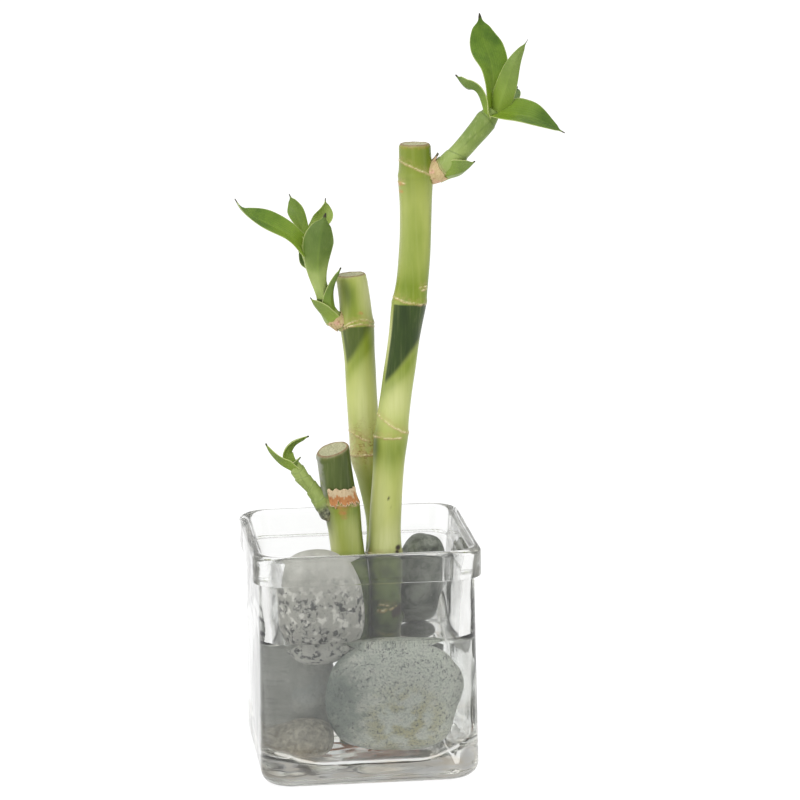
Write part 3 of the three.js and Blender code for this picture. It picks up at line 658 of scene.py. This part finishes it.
def vase():
    skin = Surface()
    foot_half = VASE.body_foot_half - VASE.foot_round
    foot_corner = VASE.body_corner - VASE.foot_round / 2
    for share in (0.1, 0.3, 0.5, 0.65, 0.78, 0.86, 0.92, 0.97):
        z = VASE.punt * smooth((0.97 - share) * 6)
        ring = rounded_square(foot_half * share, foot_corner * share, z)
        skin.add([p + [0, 0, 0.7 * z * wobble(p[0] + 20, p[1], 5, 11)] for p in ring])
    for t in steps(10):
        rise, inset = arc(VASE.foot_round, t)
        skin.add(rounded_square(VASE.body_foot_half - inset, VASE.body_corner - inset / 2, rise))
    collar_foot = VASE.height - VASE.collar_height
    under_collar = VASE.collar_step + VASE.cove
    for t in [0.004] + steps(12)[1:-1] + [0.985, 0.998, 1]:
        half = mix(VASE.body_foot_half, VASE.body_top_half, t)
        z = mix(VASE.foot_round, collar_foot - under_collar, t)
        skin.add(rounded_square(half, VASE.body_corner, z))
    for t in steps(5):
        out, _ = arc(VASE.rim_half - VASE.collar_round - VASE.body_top_half, t)
        _, drop = arc(under_collar, t)
        corner = mix(VASE.body_corner, VASE.rim_corner, t)
        skin.add(rounded_square(VASE.body_top_half + out, corner, collar_foot - drop))
    for t in steps(4)[1:]:
        rise, inset = arc(VASE.collar_round, t)
        skin.add(rounded_square(VASE.rim_half - inset, VASE.rim_corner, collar_foot + rise))
    for z in (collar_foot + VASE.collar_round + 0.1, VASE.height - 6, MOUTH_TOP - 0.1):
        skin.add(rounded_square(VASE.rim_half, VASE.rim_corner, z))
    for t in steps(16):
        half = mix(VASE.rim_half, VASE.mouth_half, (1 - cos(t * pi)) / 2)
        corner = mix(VASE.rim_corner, VASE.inner_corner, t)
        skin.add(rounded_square(half, corner, MOUTH_TOP + VASE.rim_round * sin(t * pi)))
    for t in steps(34)[1:]:
        z = mix(MOUTH_TOP, BOWL_TOP, t)
        skin.add(pressed(inner_half(z), VASE.inner_corner, z, 0.35 * smooth(t * 8)))
    for z in BOWL[::-1][1:]:
        skin.add(pressed(inner_half(z), inner_corner(z), z))
    for share in (0.85, 0.6, 0.35, 0.12):
        skin.add(pressed(VASE.floor_half * share, VASE.floor_corner * share, VASE.floor))
    return skin.mesh("vase")


def climb(x, y, half):
    """How far the water climbs near a wall and round each cane."""
    wall = half - max(abs(x), abs(y))
    over = past_corner(x, y, half, VASE.inner_corner)
    if min(over) > 0:
        wall = VASE.inner_corner - hypot(*over)
    rise = WATER.climb * exp(-max(0.0, wall) / WATER.climb)
    for name, spec in CANES.items():
        centre = CANE_LINES[name].at_height(WATER.level)
        away = hypot(x - centre[0], y - centre[1]) - spec.diameter / 2
        rise = max(rise, exp(-max(0.0, away) / 1.1))
    return rise


def water():
    """The water laps a little into the glass, so that no air shows between them."""
    skin = Surface()
    lap = WATER.lap
    for share in (0.15, 0.5, 0.9):
        skin.add(pressed(VASE.floor_half * share, VASE.floor_corner * share, VASE.floor - lap))
    for z in BOWL:
        skin.add(pressed(inner_half(z) + lap, inner_corner(z), z - lap))
    half = inner_half(WATER.level)
    for t in steps(16)[1:]:
        skin.add(pressed(half + lap, VASE.inner_corner, mix(BOWL_TOP, WATER.level + WATER.climb, t)))
    for inset in [0.3, 0.6, 1.0, 1.5, 2.1, 2.8, 3.8, 5] + [5 + 1.05 * i for i in range(1, 31)]:
        share = 1 - inset / half
        ring = rounded_square(half * share, VASE.inner_corner * share, WATER.level)
        skin.add([p + [0, 0, climb(p[0], p[1], half)] for p in ring])
    return skin.mesh("water")


# The pebbles

def pebble(name, material, centre, half, turn, blunt, lump, phase):
    """A blunt ellipsoid with low waves. It is blunt by one power at the left and one at the right."""
    work = bmesh.new()
    bmesh.ops.create_icosphere(work, subdivisions=6, radius=1)
    turned = Matrix.Identity(3)
    for degrees, axis in zip(turn, "XYZ"):
        turned = turned @ Matrix.Rotation(radians(degrees), 3, axis)
    for vertex in work.verts:
        x, y, z = vertex.co.normalized()
        waves = sin(2.3 * x + phase) * sin(2.9 * y + 2 * phase)
        waves += 0.6 * sin(3.7 * z + 3 * phase)
        power = blunt[0 if x < 0 else 1]
        outline = abs(x) ** power + abs(z) ** power
        swell = (1 + lump * waves) / sqrt(outline ** (2 / power) + y * y)
        swell += 0.006 * wobble(x * 10, y * 10, z * 10 + 10 * phase, 5)
        swell += 0.002 * wobble(x * 10, y * 10, z * 10 + 10 * phase, 1.4)
        point = Vector([v * h * swell for v, h in zip((x, y, z), half)])
        vertex.co = (turned @ point + Vector(centre)) / 1000
    mesh = bpy.data.meshes.new(name)
    work.to_mesh(mesh)
    work.free()
    show("pebble_" + name, mesh, material, "stone_" + name)


# The canes

CANE_LINES = {name: Line(spec.line) for name, spec in CANES.items()}


def cane_radius(spec, z):
    swell = []
    for node in spec.nodes:
        away = z - node
        below = smooth(1 + away / CANE.flare_down) ** 2
        flare = exp(-away / CANE.flare_up) if away >= 0 else below
        ring = CANE.ring * max(0, 1 - (away / CANE.ring_reach) ** 2)
        swell.append((spec.node_diameter - spec.diameter) / 2 * flare + 0.4 * ring)
    return spec.diameter / 2 + max(swell)


def scar_height(scar, side):
    return scar[0] - scar[1] * side + scar[2] * side * side + 0.3 * wobble(8 * side, scar[0], 3, 2.5)


def cane_paint(name, z, side, front):
    """Numbers for the cane's colours at a height, a sine to the right and a cosine to the front."""
    marks = MARKS[name]

    def dots(rows, stretch, reach):
        gaps = [hypot(z - height, (side - place) * stretch) / size for height, place, size in rows]
        return max([smooth(reach - gap) for gap in gaps if front > 0] + [0.0])

    def stretches(rows):
        return [share * bell(z, height, tall) * bell(side, place, width)
                for height, place, width, tall, share in rows]

    cream = brown = 0.0
    reach = side if front > 0 else copysign(2 - abs(side), side)
    for scar in marks.scars:
        if scar[3] < reach < scar[4] or (front < 0 and scar[4] > 1):
            away = z - scar_height(scar, side)
            fade = smooth((reach - scar[3]) * 6) * smooth((scar[4] - reach) * 6) if front > 0 else 1.0
            cream = max(cream, fade * bell(away, 0, 0.2))
            brown = max(brown, fade * (0.95 * bell(away, -0.36, 0.3) + 0.25 * bell(away, 1.1, 1.2)))
    dark = marks.dark
    edge = dark.edge + dark.rise * side
    soft = mix(8.5, 5.5, smooth(0.5 - side))
    depth = smooth((z - edge) / soft + 0.5) * smooth((dark.top - z) / 0.8 + 0.5)
    # The dark skin stops short of the left edge, so a strip of painted highlight stays lighter there.
    depth *= dark.share * smooth((side + 0.98) * dark.margin)
    papery = max([bell(z, middle, half * 0.8) for middle, half in marks.papery] + [0.0])
    green = min(1.0, sum(share * bell(z, middle, half) for middle, half, share in marks.green))
    if front > 0:
        # Light stretches take the green out where the light falls: painted light.
        for light in stretches(marks.light):
            green *= 1 - light
    return {
        "cream": cream, "tan": brown + 0.5 * papery, "dark": depth, "scar": papery,
        "spot_and_shadow": dots(marks.spots, 6.5, 1.6), "orange": dots(marks.orange, 4.5, 1.5),
        "green": min(1.0, green + 0.7 * bell(z - edge, -3.5, 4.5)), "milky": max(stretches(marks.milky)),
        # Low down the cane is painted darker: partly its own darker skin, partly painted shade.
        "shade": max(stretches(marks.shade)) if front > 0 else 0.0, "dark_and_shaded_below": smooth((CANE.murk - z) / 6),
    }


def scar_relief(name, z, side):
    """A scar's lip: a small step out under its line."""
    shown = [scar for scar in MARKS[name].scars if scar[4] > 1 or scar[3] < side < scar[4]]
    return max([0.2 * bell(z - scar_height(scar, side), -0.2, 0.4) for scar in shown] + [0.0])


def cane(name, sides=84):
    spec = CANES[name]
    line = CANE_LINES[name]
    top = spec.line[-1][2]
    heights = [CANE.foot]
    while heights[-1] < top - CANE.lean + CANE.lean_used:
        z = heights[-1]
        near = min(abs(z - scar[0]) for scar in MARKS[name].scars)
        heights.append(z + (CANE.fine_row if near < CANE.fine_reach else CANE.row))
    angles = turns(sides)
    skin = Surface()
    slope_right, slope_back = [tan(radians(a)) for a in spec.slope]
    centre_top = line.at_height(top)
    browned = 0.375 if name == "tall" else 0.075
    greyed = 1 if name == "short" else 0

    def cut_height(angle, radius=spec.diameter / 2):
        return top + radius * (slope_right * cos(angle) + slope_back * sin(angle))

    def add(ring, z_paint, cut, rind):
        """Adds a ring painted for given heights, browned near the cut and greyed at the left."""
        rows = []
        for z, a in zip(z_paint, angles):
            row = cane_paint(name, z, cos(a), -sin(a))
            row["orange"] = max(row["orange"], browned * smooth(1.5 - (cut_height(a) - z) / 1.4))
            row["grey"] = greyed * smooth(-cos(a) * 4 - 2.6) * smooth((z - 108) / 3)
            rows.append(row)
        values = {key: [row[key] for row in rows] for key in rows[0]}
        skin.add(ring, cut=cut, rind=rind, **values)

    def add_cut(out, drop, relief, spread, grain, cut, rind):
        """A ring of the cut face, so far out and so far under the top, with a little relief."""
        ring = []
        for a in angles:
            x, y = out * cos(a), out * sin(a)
            z = top + slope_right * x + slope_back * y - drop
            z += relief * wobble(spread * x, spread * y, *grain)
            ring.append(np.array([centre_top[0] + x, centre_top[1] + y, z]))
        add(ring, [p[2] for p in ring], cut, rind)

    for z in heights:
        ring, painted = [], []
        for angle in angles:
            lift = z
            if z > top - CANE.lean:
                share = (z - (top - CANE.lean)) / CANE.lean_used
                lift = z + share**2 * (cut_height(angle) - top)
            centre = line.at_height(lift)
            radius = cane_radius(spec, lift) + scar_relief(name, lift, cos(angle))
            if name != "middle":
                radius += CANE.murk_swell * smooth((CANE.murk - 1 - lift) / 5)
            radius += 0.12 * wobble(4 * cos(angle) + centre[0], 4 * sin(angle), lift * 0.25, 3)
            ring.append(centre + [radius * cos(angle), radius * sin(angle), 0])
            painted.append(lift)
        add(ring, painted, 0, 0)
    radius = cane_radius(spec, top)
    for t in steps(5):
        inset, drop = arc(CANE.cut_round, t)
        drop += 0.88 * (1 - t)
        add_cut(radius - inset, drop, 0.15, 3, (7, 6), smooth(t * 1.6 - 0.5), smooth(t * 1.6 - 0.4))
    for share in (0.97, 0.92, 0.85, 0.75, 0.6, 0.45, 0.3, 0.15, 0.05):
        out = (radius - CANE.cut_round) * share
        add_cut(out, CANE.cut_dish * (1 - share**4), 0.12, 2, (3, 2), 1, smooth((share - 0.9) * 14))
    return skin.mesh("cane_" + name)


# The roots

def root_strand(foot, turn, length):
    points = []
    for t in steps(3):
        reach = mix(ROOT.start, CALLUS.radius + length, t)
        angle = turn + ROOT.sway * sin(1.6 * t * pi + 3 * turn)
        x, y = foot[0] + reach * cos(angle), foot[1] + reach * sin(angle)
        points.append([x, y, floor_at(x, y) + ROOT.lift + ROOT.rise * sin(t * pi)])
    line = Line(points)
    skin = Surface()
    for t in steps(30):
        tangent = line.tangent(t)
        side = unit(np.cross(tangent, [0, 0, 1]))
        up = np.cross(side, tangent)
        end = sqrt(max(0.02, 1 - max(0, t - 0.9) ** 2 * 100))
        radius = end * mix(ROOT.radius, ROOT.tip_radius, t) * (1 + 0.18 * wobble(t * 40, turn, 0, 5))
        skin.add([line.at(t) + side * radius * cos(a) + up * radius * sin(a)
                  for a in turns(12)])
    return skin.mesh("strand")


def roots(name):
    """A cane's roots, joined to the callus that they grow from."""
    foot = CANES[name].line[0]
    disc = Surface()
    profile = [(0.3, 0), (0.8, 0.05), (0.95, 0.45), (1.0, 1.25), (0.98, 2.05), (0.9, 2.4), (0.4, 2.65)]
    for share, rise in profile:
        z = CALLUS.foot + rise
        ring = []
        for a in turns(48):
            radius = CALLUS.radius * share * (1 + 0.05 * wobble(5 * cos(a), 5 * sin(a), z, 3))
            ring.append([foot[0] + radius * cos(a), foot[1] + radius * sin(a), z])
        disc.add(ring)
    work = bmesh.new()
    work.from_mesh(disc.mesh("callus"))
    for i in range(ROOT.count):
        turn = (i + 1) / ROOT.count * 2 * pi + 0.3 * foot[0]
        length = ROOT.length * (1 - ROOT.shorter * (1 - cos(2.4 * i)))
        work.from_mesh(root_strand(foot, turn, length))
    mesh = bpy.data.meshes.new("roots_" + name)
    work.to_mesh(mesh)
    work.free()
    return mesh


# The side shoots

def shoot_frame(line, t):
    tangent = line.tangent(t)
    side = unit(np.cross([0, 1, 0], tangent))
    return side, np.cross(tangent, side)


def shoot(name, sides=48, rows=110):
    spec = SHOOTS[name]
    line = Line(spec.line)
    sheath = 0.42 if name == "short" else 0.25
    skin = Surface()
    for t in steps(rows):
        side, lift = shoot_frame(line, t)
        base = between(spec.radius, t)
        dry = smooth((0.3 - t) * 9) if name == "tall" else 0.4 * smooth((0.16 - t) * 9)
        woody = smooth((0.3 - t) * 8) if name == "short" else 0.0
        ring, pales, creases = [], [], []
        for angle in turns(sides):
            step = crease = 0.0
            for k, place in enumerate(spec.rings):
                slant = place + 0.035 * sin(angle + 2.1 * k)
                step += sheath * smooth((slant - t) * 60 + 0.5) * smooth(1 - (slant - t) * 5)
                crease = max(crease, bell(t, slant, 0.006))
            right, up = cos(angle), sin(angle)
            radius = base * (1 + 0.03 * wobble(2 * right, 2 * up, 20 * t, 3)) + step - 0.45 * sheath
            radius += woody * 0.6 * wobble(3 * right, 3 * up, 30 * t, 1.6)
            ring.append(line.at(t) + side * radius * right + lift * radius * up)
            pale = mix(smooth(0.5 + 0.6 * sin(angle + 5 * t)), 1.4, 0.6)
            if name == "tall":
                pale *= 1 - 0.9 * smooth((t - 0.42) * 4)
            turned = (angle + pi / 2 + 1.6 * (0.75 - t) + pi) % (2 * pi) - pi
            crease = max(crease, 0.7 * bell(turned, 0, 0.06) * smooth((t - 0.46) * 9))
            pales.append(pale)
            creases.append(0.55 * crease)
        skin.add(ring, pale=pales, line=creases, wood=woody, tan=dry)
    return skin.mesh("shoot_" + name)


# The leaves and bracts

def leaf_width(foot, widest, t):
    if t < widest:
        return mix(foot, 1, smooth(t / widest))
    share = (t - widest) / (1 - widest)
    drawn_tip = smooth((t - 0.86) * 12) * smooth((1.02 - t) * 12)
    return max(0.0, 1 - share**1.8) ** 1.1 * mix(1, 0.45, drawn_tip)


def leaf(name, rib, width, foot, widest, face, fold, tone=0.0, sheath=-1, rows=64, across=17):
    """A blade along its rib. It faces and folds one way at the foot and another at the tip."""
    line = Line(rib)
    faces = [np.array(f, float) for f in face]
    skin = Surface()
    shares = [2 * u - 1 for u in steps(across - 1)]
    for t in steps(rows):
        share = line.share_of_length(t)
        tangent = line.tangent(share)
        centre = line.at(share)
        side = unit(np.cross(tangent, mix(faces[0], faces[1], t)))
        up = unit(np.cross(side, tangent))
        half = max(0.12, width / 2 * leaf_width(foot, widest, t))
        bent = radians(mix(fold[0], fold[1], t))
        soft = mix(0.3, 0.1, smooth(t * 3))
        wave = 0.25 * sin(9 * t + len(name)) * smooth(t * 3)
        upper, lower = [], []
        for s in shares:
            bend = sqrt(s * s + soft * soft) - soft
            lift = bend * half * sin(bent) + wave * s * abs(s)
            place = centre + side * s * half * cos(bent) + up * lift
            skin_half = mix(0.36, 0.12, s**4) * mix(1, 0.6, t**6)
            upper.append(place + up * skin_half)
            lower.append(place - up * skin_half)
        skin.add(
            upper + lower[::-1], along=t, across=shares + shares[::-1], under=[0] * across + [1] * across,
            tone=tone, sheath=smooth((sheath - t) * 2.6 + 0.5),
        )
    show(name + "_fine", skin.mesh(name), leaf_look, name)


# The husks

def husk(name, rows=90, levels=14, gap=0.1, thickness=0.52):
    """A torn sheath, with two skins, round a cane at its heights or a shoot at shares of its line."""
    spec = HUSKS[name]
    shoot_line = Line(SHOOTS[name].line)

    def skin_at(place, angle, offset):
        if spec.round == "cane":
            centre, (side, lift, _) = CANE_LINES[name].at_height(place), np.eye(3)
            radius = cane_radius(CANES[name], place)
        else:
            centre, (side, lift) = shoot_line.at(place), shoot_frame(shoot_line, place)
            radius = between(SHOOTS[name].radius, place)
        return centre + (radius + offset) * (side * cos(angle) + lift * sin(angle))

    skin = Surface()
    plain = 0.0 if name == "short" else 1.0
    edges = steps(levels)
    for t in steps(rows):
        angle = radians(mix(spec.start, spec.end, t) - 90)
        tear = 0.5 * sin(9 * t * pi) + 0.3 * sin(23 * t + 1)
        tear += 1.6 * wobble(t * 100, 3, 9, 7) + 1.1 * wobble(t * 100, 8, 2, 2.2)
        fringe = 2 * abs((t * 6 + 0.8 * wobble(t * 100, 1, 4, 12)) % 1 - 0.5)
        torn = 0.55 + 0.9 * wobble(t * 100, 6, 6, 14)
        spike = bell(t, 0.09, 0.05) if name == "tall" else 0.0
        low = spec.low + spec.ragged * (fringe * torn - 0.6 + 0.7 * wobble(t * 100, 5, 5, 3))
        high = spec.high + spec.ragged * (0.22 * tear - 0.3) + 0.09 * spike
        inner, outer = [], []
        for u in edges:
            place = mix(low, high, u)
            curl = 0.3 * u * u + 0.22 * u * wobble(t * 60, u * 8, 4, 5) + 1.3 * spike * u**3
            outer.append(skin_at(place, angle, gap + thickness + curl))
            inner.append(skin_at(place, angle, gap + curl * 0.8))
        both = edges + edges[::-1]
        skin.add(outer + inner[::-1], edge=both, plain=plain, dry=[spike * u for u in both])
    return skin.mesh("husk_" + name)


# The studio

def studio_floor():
    s = Shader("studio_floor", 0.9)
    s.set("Base Color", s.mix(s.noise(400, 2), (107, 107, 107), (110, 110, 110)))
    s.set("Specular IOR Level", 0.0)
    s.set("Emission Color", (1, 1, 1, 1))
    s.set("Emission Strength", 0.95)
    reach = 8.0
    corners = [(-reach, -reach, 0), (reach, -reach, 0), (reach, reach, 0), (-reach, reach, 0)]
    mesh = bpy.data.meshes.new("floor")
    mesh.from_pydata(corners, [], [(0, 1, 2, 3)])
    mesh.materials.append(s.material)
    placed("studio_floor", mesh)


def studio_light():
    """A room that is grey low down, darkest in front and at the right, and bright overhead."""
    world = bpy.data.worlds.new("studio")
    bpy.context.scene.world = world
    world.use_nodes = True
    room = Nodes(world.node_tree, "Generated")
    back = 0.8 + room.axis("Y").band(-0.8, 0.6) * -0.25
    left = 0.3 + room.axis("X").band(-0.9, 0.9) * -0.45
    above = room.axis("Z").band(0.3, 0.75) * 0.55
    background = world.node_tree.nodes["Background"]
    room.put(background.inputs["Strength"], back + left + above)
    room.put(background.inputs["Color"], (1, 1, 1, 1))

    def soft_box(name, place, size, power):
        light = bpy.data.lights.new(name, "AREA")
        light.shape = "DISK"
        light.size = size
        light.energy = power
        lamp = placed(name, light)
        lamp.location = place
        towards = Vector((0, 0, 0.14)) - lamp.location
        lamp.rotation_euler = towards.to_track_quat("-Z", "Y").to_euler()

    soft_box("key", (-0.9, -1.0, 1.3), 0.9, 8)
    soft_box("fill", (1.3, -0.6, 0.8), 0.9, 3)


def camera():
    data = bpy.data.cameras.new("camera")
    data.sensor_width = 36
    data.lens = 173.03
    data.clip_start = 0.05
    data.clip_end = 30
    right = Vector((0.99341318, -0.11378339, -0.01354958))
    up = Vector((0.03549378, 0.19312295, 0.98053236))
    back = -Vector((0.10895156, 0.9745547, -0.19588949))
    turn = Matrix((right, up, back)).transposed().to_4x4()
    eye = placed("camera", data)
    eye.matrix_world = Matrix.Translation(Vector((-0.148847, -1.489356, 0.445508))) @ turn
    bpy.context.scene.camera = eye


# The whole object

cane_look = cane_material()
shoot_look = shoot_material()
leaf_look = leaf_material()
husk_look = husk_material()
root_look = root_material()


def plant(name):
    """All of one cane but its leaves."""
    show("bamboo_" + name, cane(name), cane_look, "cane_" + name)
    show("rootlets_" + name, roots(name), root_look, "roots_" + name)
    show("side_shoot_" + name, shoot(name), shoot_look, "shoot_" + name)
    show("torn_husk_" + name, husk(name), husk_look, "husk_" + name)


show("glass_vase", vase(), glass_material(), "vase")
show("vase_water", water(), water_material(), "water")

pebble(
    "granite", granite_material(),
    centre=[-18.6, -22.8, 69], half=[18, 13.8, 22.8], turn=[6, -4, 4], blunt=[2.5, 2.5], lump=0.03,
    phase=5,
)
pebble(
    "green", green_material(),
    centre=[9.8, -24.3, 32.2], half=[26.5, 10.6, 24.4], turn=[14, 5, 0], blunt=[2.35, 3], lump=0.015,
    phase=4.2,
)
pebble(
    "dark", plain_material("dark_pebble", (74, 78, 70), (146, 150, 139), (196, 198, 186), 6, 0.6),
    centre=[26.4, 26, 55.4], half=[10.8, 10.2, 29.6], turn=[0, 6.5, 0], blunt=[2.6, 3.4], lump=0.02,
    phase=3.3,
)
pebble(
    "grey",
    plain_material("grey_pebble", (154, 156, 148), (202, 204, 196), (96, 98, 92), 12, 0.5, 0.35),
    centre=[-24, 3, 30.6], half=[12.8, 18.5, 23.9], turn=[14, 0, 0], blunt=[2.4, 2.4], lump=0.025,
    phase=0.8,
)
pebble(
    "speckled", plain_material("speckled_pebble", (136, 129, 112), (204, 199, 182), (90, 78, 60), 2),
    centre=[-25.2, -22.6, 16.2], half=[11.8, 10.8, 8.8], turn=[0, 0, 10], blunt=[2.3, 2.3], lump=0.02,
    phase=1.7,
)
pebble(
    "small", plain_material("small_pebble", (90, 92, 86), (132, 134, 128), (70, 70, 66), 6),
    centre=[25.5, 23.6, 16.6], half=[7.7, 8.1, 9], turn=[0, 0, 30], blunt=[2, 2], lump=0.03, phase=0.9,
)

plant("tall")
leaf("tall_leaf_upper", [[55.5, 1.5, 259], [56.5, 3, 271.8], [56, 6, 279.6], [53.5, 8, 288.3],
     [52, 8, 298.3]],
     width=13.6, foot=0.85, widest=0.62, face=[[1, -1, 0.1], [-0.5, -1, 0.1]], fold=[30, 8])
leaf("tall_leaf_right", [[57.5, 0, 259.5], [60.4, -2.4, 269], [64.1, -3.4, 279.8], [69.8, -2, 288.6]],
     width=9.8, foot=0.7, widest=0.22, face=[[0.4, 1, 0.2], [0.1, 1, 0.2]], fold=[32, 16], tone=0.3,
     sheath=-0.06)
leaf("tall_leaf_left", [[53.5, -0.5, 257.5], [49.4, -1.2, 268.6], [45, -0.2, 270.8], [41.8, 4, 274.7]],
     width=7.3, foot=0.7, widest=0.64, face=[[4, 0.4, 0.3], [1.1, 0.8, 0.7]], fold=[35, 18], tone=-0.1)
leaf("tall_leaf_low", [[57.6, 0, 259.8], [64.4, -5, 259.2], [70.4, -9, 258.4], [82.6, -12, 252.6]],
     width=16.6, foot=0.7, widest=0.24, face=[[0.2, -0.7, 0.7], [0.4, -0.6, 0.8]], fold=[28, 10],
     tone=-0.25)
leaf("tall_leaf_back", [[57.5, 3, 258.5], [64.8, 12, 263], [69, 22, 267.2]],
     width=7.5, foot=0.6, widest=0.5, face=[[-0.3, -0.5, 0.8], [-0.2, -0.6, 0.8]], fold=[28, 12])
leaf("tall_bract", [[34.3, 1, 235.1], [44, -0.9, 237.4], [48.6, -1, 241]],
     width=11.5, foot=1, widest=0.7, face=[[0.8, 0.8, 0.6], [-1.2, 0.7, 0.7]], fold=[36, 24], tone=0.3)
plant("middle")
leaf("middle_leaf_long", [[-17.5, 12, 205.5], [-25.4, 10, 212.6], [-42.5, 9, 222.6], [-45.5, 12, 227]],
     width=12.5, foot=0.75, widest=0.55, face=[[-0.4, -0.6, 0.7], [1.7, -0.6, 0.8]], fold=[32, 12],
     sheath=-0.06)
leaf("middle_leaf_upright", [[-17.5, 13.5, 207.5], [-19.9, 17, 216.6], [-21.4, 19, 222.7],
     [-23.3, 20, 227.2]],
     width=7, foot=0.9, widest=0.66, face=[[1.8, -1, 0], [-1.4, -1, 0.2]], fold=[30, 10], tone=0.35)
leaf("middle_leaf_front", [[-11.2, 10.2, 186], [-13.3, 8.8, 197], [-12.9, 6.2, 209], [-9.9, 8, 221]],
     width=13.8, foot=0.45, widest=0.66, face=[[-0.1, 1, 0.1], [0, 1, 0.2]], fold=[40, 18], tone=-0.3,
     sheath=0.36)
leaf("middle_leaf_back", [[-16, 14, 207.5], [-10.3, 17.5, 215.5], [-9, 18, 225.4]],
     width=11.6, foot=0.5, widest=0.34, face=[[-3, -0.9, 0.1], [1.1, -0.9, 0.2]], fold=[30, 14], tone=0.6)
leaf("middle_leaf_small", [[-14.5, 14.5, 196], [-18.4, 18, 199.2], [-19.8, 21, 204]],
     width=5.5, foot=0.7, widest=0.4, face=[[0.5, -0.6, 0.6], [0.5, -0.6, 0.6]], fold=[34, 20], tone=0.1)
leaf("middle_bract_right", [[-6.5, 13, 177], [-8.5, 10.6, 184.5], [-7.5, 10, 191], [-4, 10.5, 198.5]],
     width=6.5, foot=0.8, widest=0.3, face=[[-0.5, 0.9, 0], [-0.6, 0.6, 0.2]], fold=[34, 20])
leaf("middle_bract_left", [[-7.5, 13, 175], [-13.9, 11.3, 182.7], [-16.4, 11, 186.7]],
     width=9.9, foot=0.95, widest=0.47, face=[[0.3, 0.7, 0.5], [1.3, 0.6, 0.5]], fold=[34, 22], tone=0.45)
plant("short")
leaf("short_leaf_long", [[-25, -5.5, 119.5], [-31, -6.5, 123.5], [-35.2, -7, 128.6], [-36.7, -6, 131.8]],
     width=8.5, foot=0.8, widest=0.3, face=[[0.5, 0.4, 0.8], [0.6, 0.3, 0.7]], fold=[38, 24], tone=0.35)
leaf("short_leaf_upright", [[-26.6, -4.8, 122.3], [-29, -4, 127.4], [-26.2, -3, 131], [-19.2, -3, 133.5]],
     width=7.4, foot=0.8, widest=0.35, face=[[0.8, -0.5, -0.2], [0.2, -0.6, -0.8]], fold=[32, 18],
     tone=0.4)
leaf("short_bract", [[-25, -5.6, 121.4], [-24.8, -8, 124], [-23.2, -9, 126.4]],
     width=3.2, foot=0.9, widest=0.3, face=[[-0.5, 0.7, 0.5], [-0.5, 0.7, 0.5]], fold=[26, 16], tone=0.2)

studio_floor()
studio_light()
camera()
bpy.context.scene.view_settings.view_transform = "Standard"
bpy.context.scene.cycles.max_bounces = 40
bpy.context.scene.cycles.transmission_bounces = 40
bpy.context.scene.cycles.glossy_bounces = 24
